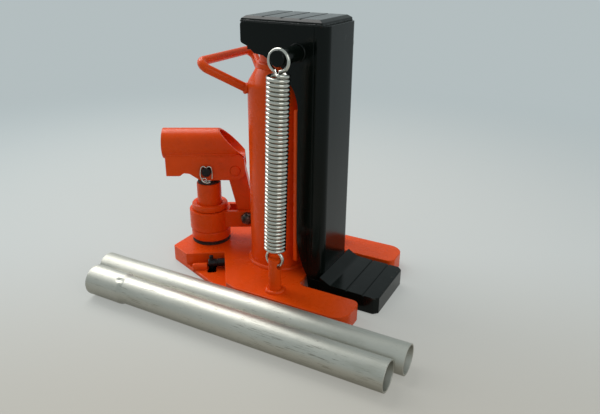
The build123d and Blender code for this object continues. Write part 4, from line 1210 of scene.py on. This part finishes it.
class TOEJACK_OT_stage(JackOperator, bpy.types.Operator):
    """Make the floor, backdrop, lamps and camera"""

    bl_idname = "toe_jack.stage"
    bl_label = "Stage"

    def make(self):
        s = settings("stage")
        scene = bpy.context.scene
        scene.view_settings.view_transform = "Standard"
        world = bpy.data.worlds.new("studio")
        world.use_nodes = True
        scene.world = world
        g = Graph(world.node_tree)
        rays = g.tree.nodes.new("ShaderNodeLightPath").outputs
        seen = Value(g, rays["Is Camera Ray"]) + Value(g, rays["Is Glossy Ray"])
        seen = seen + Value(g, rays["Is Transmission Ray"])
        shown = g.node("ShaderNodeBackground", None, {"Color": tint(s.sky), "Strength": 1.0})
        light = g.node("ShaderNodeBackground", None, {"Color": FILL_COLOUR, "Strength": s.fill})
        mixed = g.node("ShaderNodeMixShader", None, {0: seen.maths("MINIMUM", 1.0), 1: light, 2: shown})
        g.output("ShaderNodeOutputWorld", mixed)
        self.floor(s)
        for name, place, aim, width, share, colour in LAMPS:
            self.lamp(name, place, aim, width, s.key * share, colour)
        self.camera(scene)

    def floor(self, s):
        corners = [(x * FLOOR_HALF, y * FLOOR_HALF, 0) for x, y in ((-1, -1), (1, -1), (1, 1), (-1, 1))]
        mesh = mesh_of(corners, [(0, 1, 2, 3)], False)
        floor = bpy.data.objects.new("studio_floor", mesh)
        bpy.context.scene.collection.objects.link(floor)
        material = bpy.data.materials.new("pale_studio_floor")
        material.use_nodes = True
        g = Graph(material.node_tree)
        away = (-sin(PHOTO_AZIMUTH), cos(PHOTO_AZIMUTH), 0)
        place = g.node("ShaderNodeTexCoord", output="Object")
        depth = g.node("ShaderNodeVectorMath", {"operation": "DOT_PRODUCT"}, {0: place, 1: away}, "Value")
        reach = g.node("ShaderNodeVectorMath", {"operation": "LENGTH"}, {0: place}, "Value")
        # Painted light: the floor is darker and warmer in front of the object as painted shade, lighter round it
        # as a painted pool of light, and fades to the backdrop colour far away.
        painted_shade_in_front = (1 - depth.step(-0.34, 0.06)) * (1 - reach.step(0.3, 0.8))
        colour = g.layers(tint(s.floor), (painted_shade_in_front, tint(s.near)), (reach.step(0.15, 0.85), tint(s.sky)))
        matt = g.node("ShaderNodeBsdfDiffuse", None, {"Color": colour})
        glow = g.node("ShaderNodeEmission", None, {"Color": colour, "Strength": 1.0})
        rays = g.tree.nodes.new("ShaderNodeLightPath").outputs
        seen = (Value(g, rays["Is Camera Ray"]) + Value(g, rays["Is Glossy Ray"])).maths("MINIMUM", 1.0)
        # The floor glows in its own colour, and far away, where no shadow falls, by nothing else.
        share = 0.55 + reach.step(0.35, 0.95) * 0.45
        mixed = g.node("ShaderNodeMixShader", None, {0: seen * share, 1: matt, 2: glow})
        g.output("ShaderNodeOutputMaterial", mixed)
        mesh.materials.append(material)

    def lamp(self, name, place, aim, width, power, colour):
        data = bpy.data.lights.new(name, "AREA")
        data.shape, data.size, data.energy, data.color = "DISK", width, power, colour
        lamp = bpy.data.objects.new(name, data)
        bpy.context.scene.collection.objects.link(lamp)
        lamp.location = place
        lamp.rotation_euler = (Vector(aim) - Vector(place)).to_track_quat("-Z", "Y").to_euler()

    def camera(self, scene):
        azimuth, pitch, roll = PHOTO_AZIMUTH, PHOTO_PITCH, PHOTO_ROLL
        forward = Vector((-sin(azimuth) * cos(pitch), cos(azimuth) * cos(pitch), -sin(pitch)))
        level = Vector((cos(azimuth), sin(azimuth), 0))
        upright = level.cross(forward)
        right = level * cos(roll) + upright * sin(roll)
        up = upright * cos(roll) - level * sin(roll)
        data = bpy.data.cameras.new("photo_view")
        data.sensor_width, data.lens = SENSOR, PHOTO_FOCAL / PHOTO_WIDTH * SENSOR
        data.clip_start, data.clip_end = 0.02, 30
        camera = bpy.data.objects.new("photo_view", data)
        scene.collection.objects.link(camera)
        turn = Matrix((right, up, -forward)).transposed().to_4x4()
        camera.matrix_world = Matrix.Translation(PHOTO_PLACE) @ turn
        scene.camera = camera


OPERATORS = [
    TOEJACK_OT_base,
    TOEJACK_OT_cylinder,
    TOEJACK_OT_handle,
    TOEJACK_OT_rail,
    TOEJACK_OT_carriage,
    TOEJACK_OT_spring_pins,
    TOEJACK_OT_springs,
    TOEJACK_OT_pump,
    TOEJACK_OT_linkage,
    TOEJACK_OT_socket,
    TOEJACK_OT_valve,
    TOEJACK_OT_tubes,
    TOEJACK_OT_stage,
]


class TOEJACK_PT_panel(bpy.types.Panel):
    """Lists the sizes and the pieces of the toe jack"""

    bl_idname = "TOEJACK_PT_panel"
    bl_label = "Toe Jack"
    bl_space_type = "VIEW_3D"
    bl_region_type = "UI"
    bl_category = "Toe Jack"

    def draw(self, context):
        for name, group in GROUPS.items():
            box = self.layout.box()
            box.label(text=name.title())
            for key in group.__annotations__:
                box.prop(settings(name), key)
        for operator in OPERATORS:
            self.layout.operator(operator.bl_idname)


def register():
    for item in (*GROUPS.values(), *OPERATORS, TOEJACK_PT_panel):
        bpy.utils.register_class(item)
    for name, group in GROUPS.items():
        setattr(bpy.types.Scene, "toe_jack_" + name, PointerProperty(type=group))


def unregister():
    for name in GROUPS:
        delattr(bpy.types.Scene, "toe_jack_" + name)
    for item in reversed((*GROUPS.values(), *OPERATORS, TOEJACK_PT_panel)):
        bpy.utils.unregister_class(item)


def main():
    register()
    for operator in OPERATORS:
        group, name = operator.bl_idname.split(".")
        getattr(getattr(bpy.ops, group), name)()


if __name__ == "__main__":
    main()
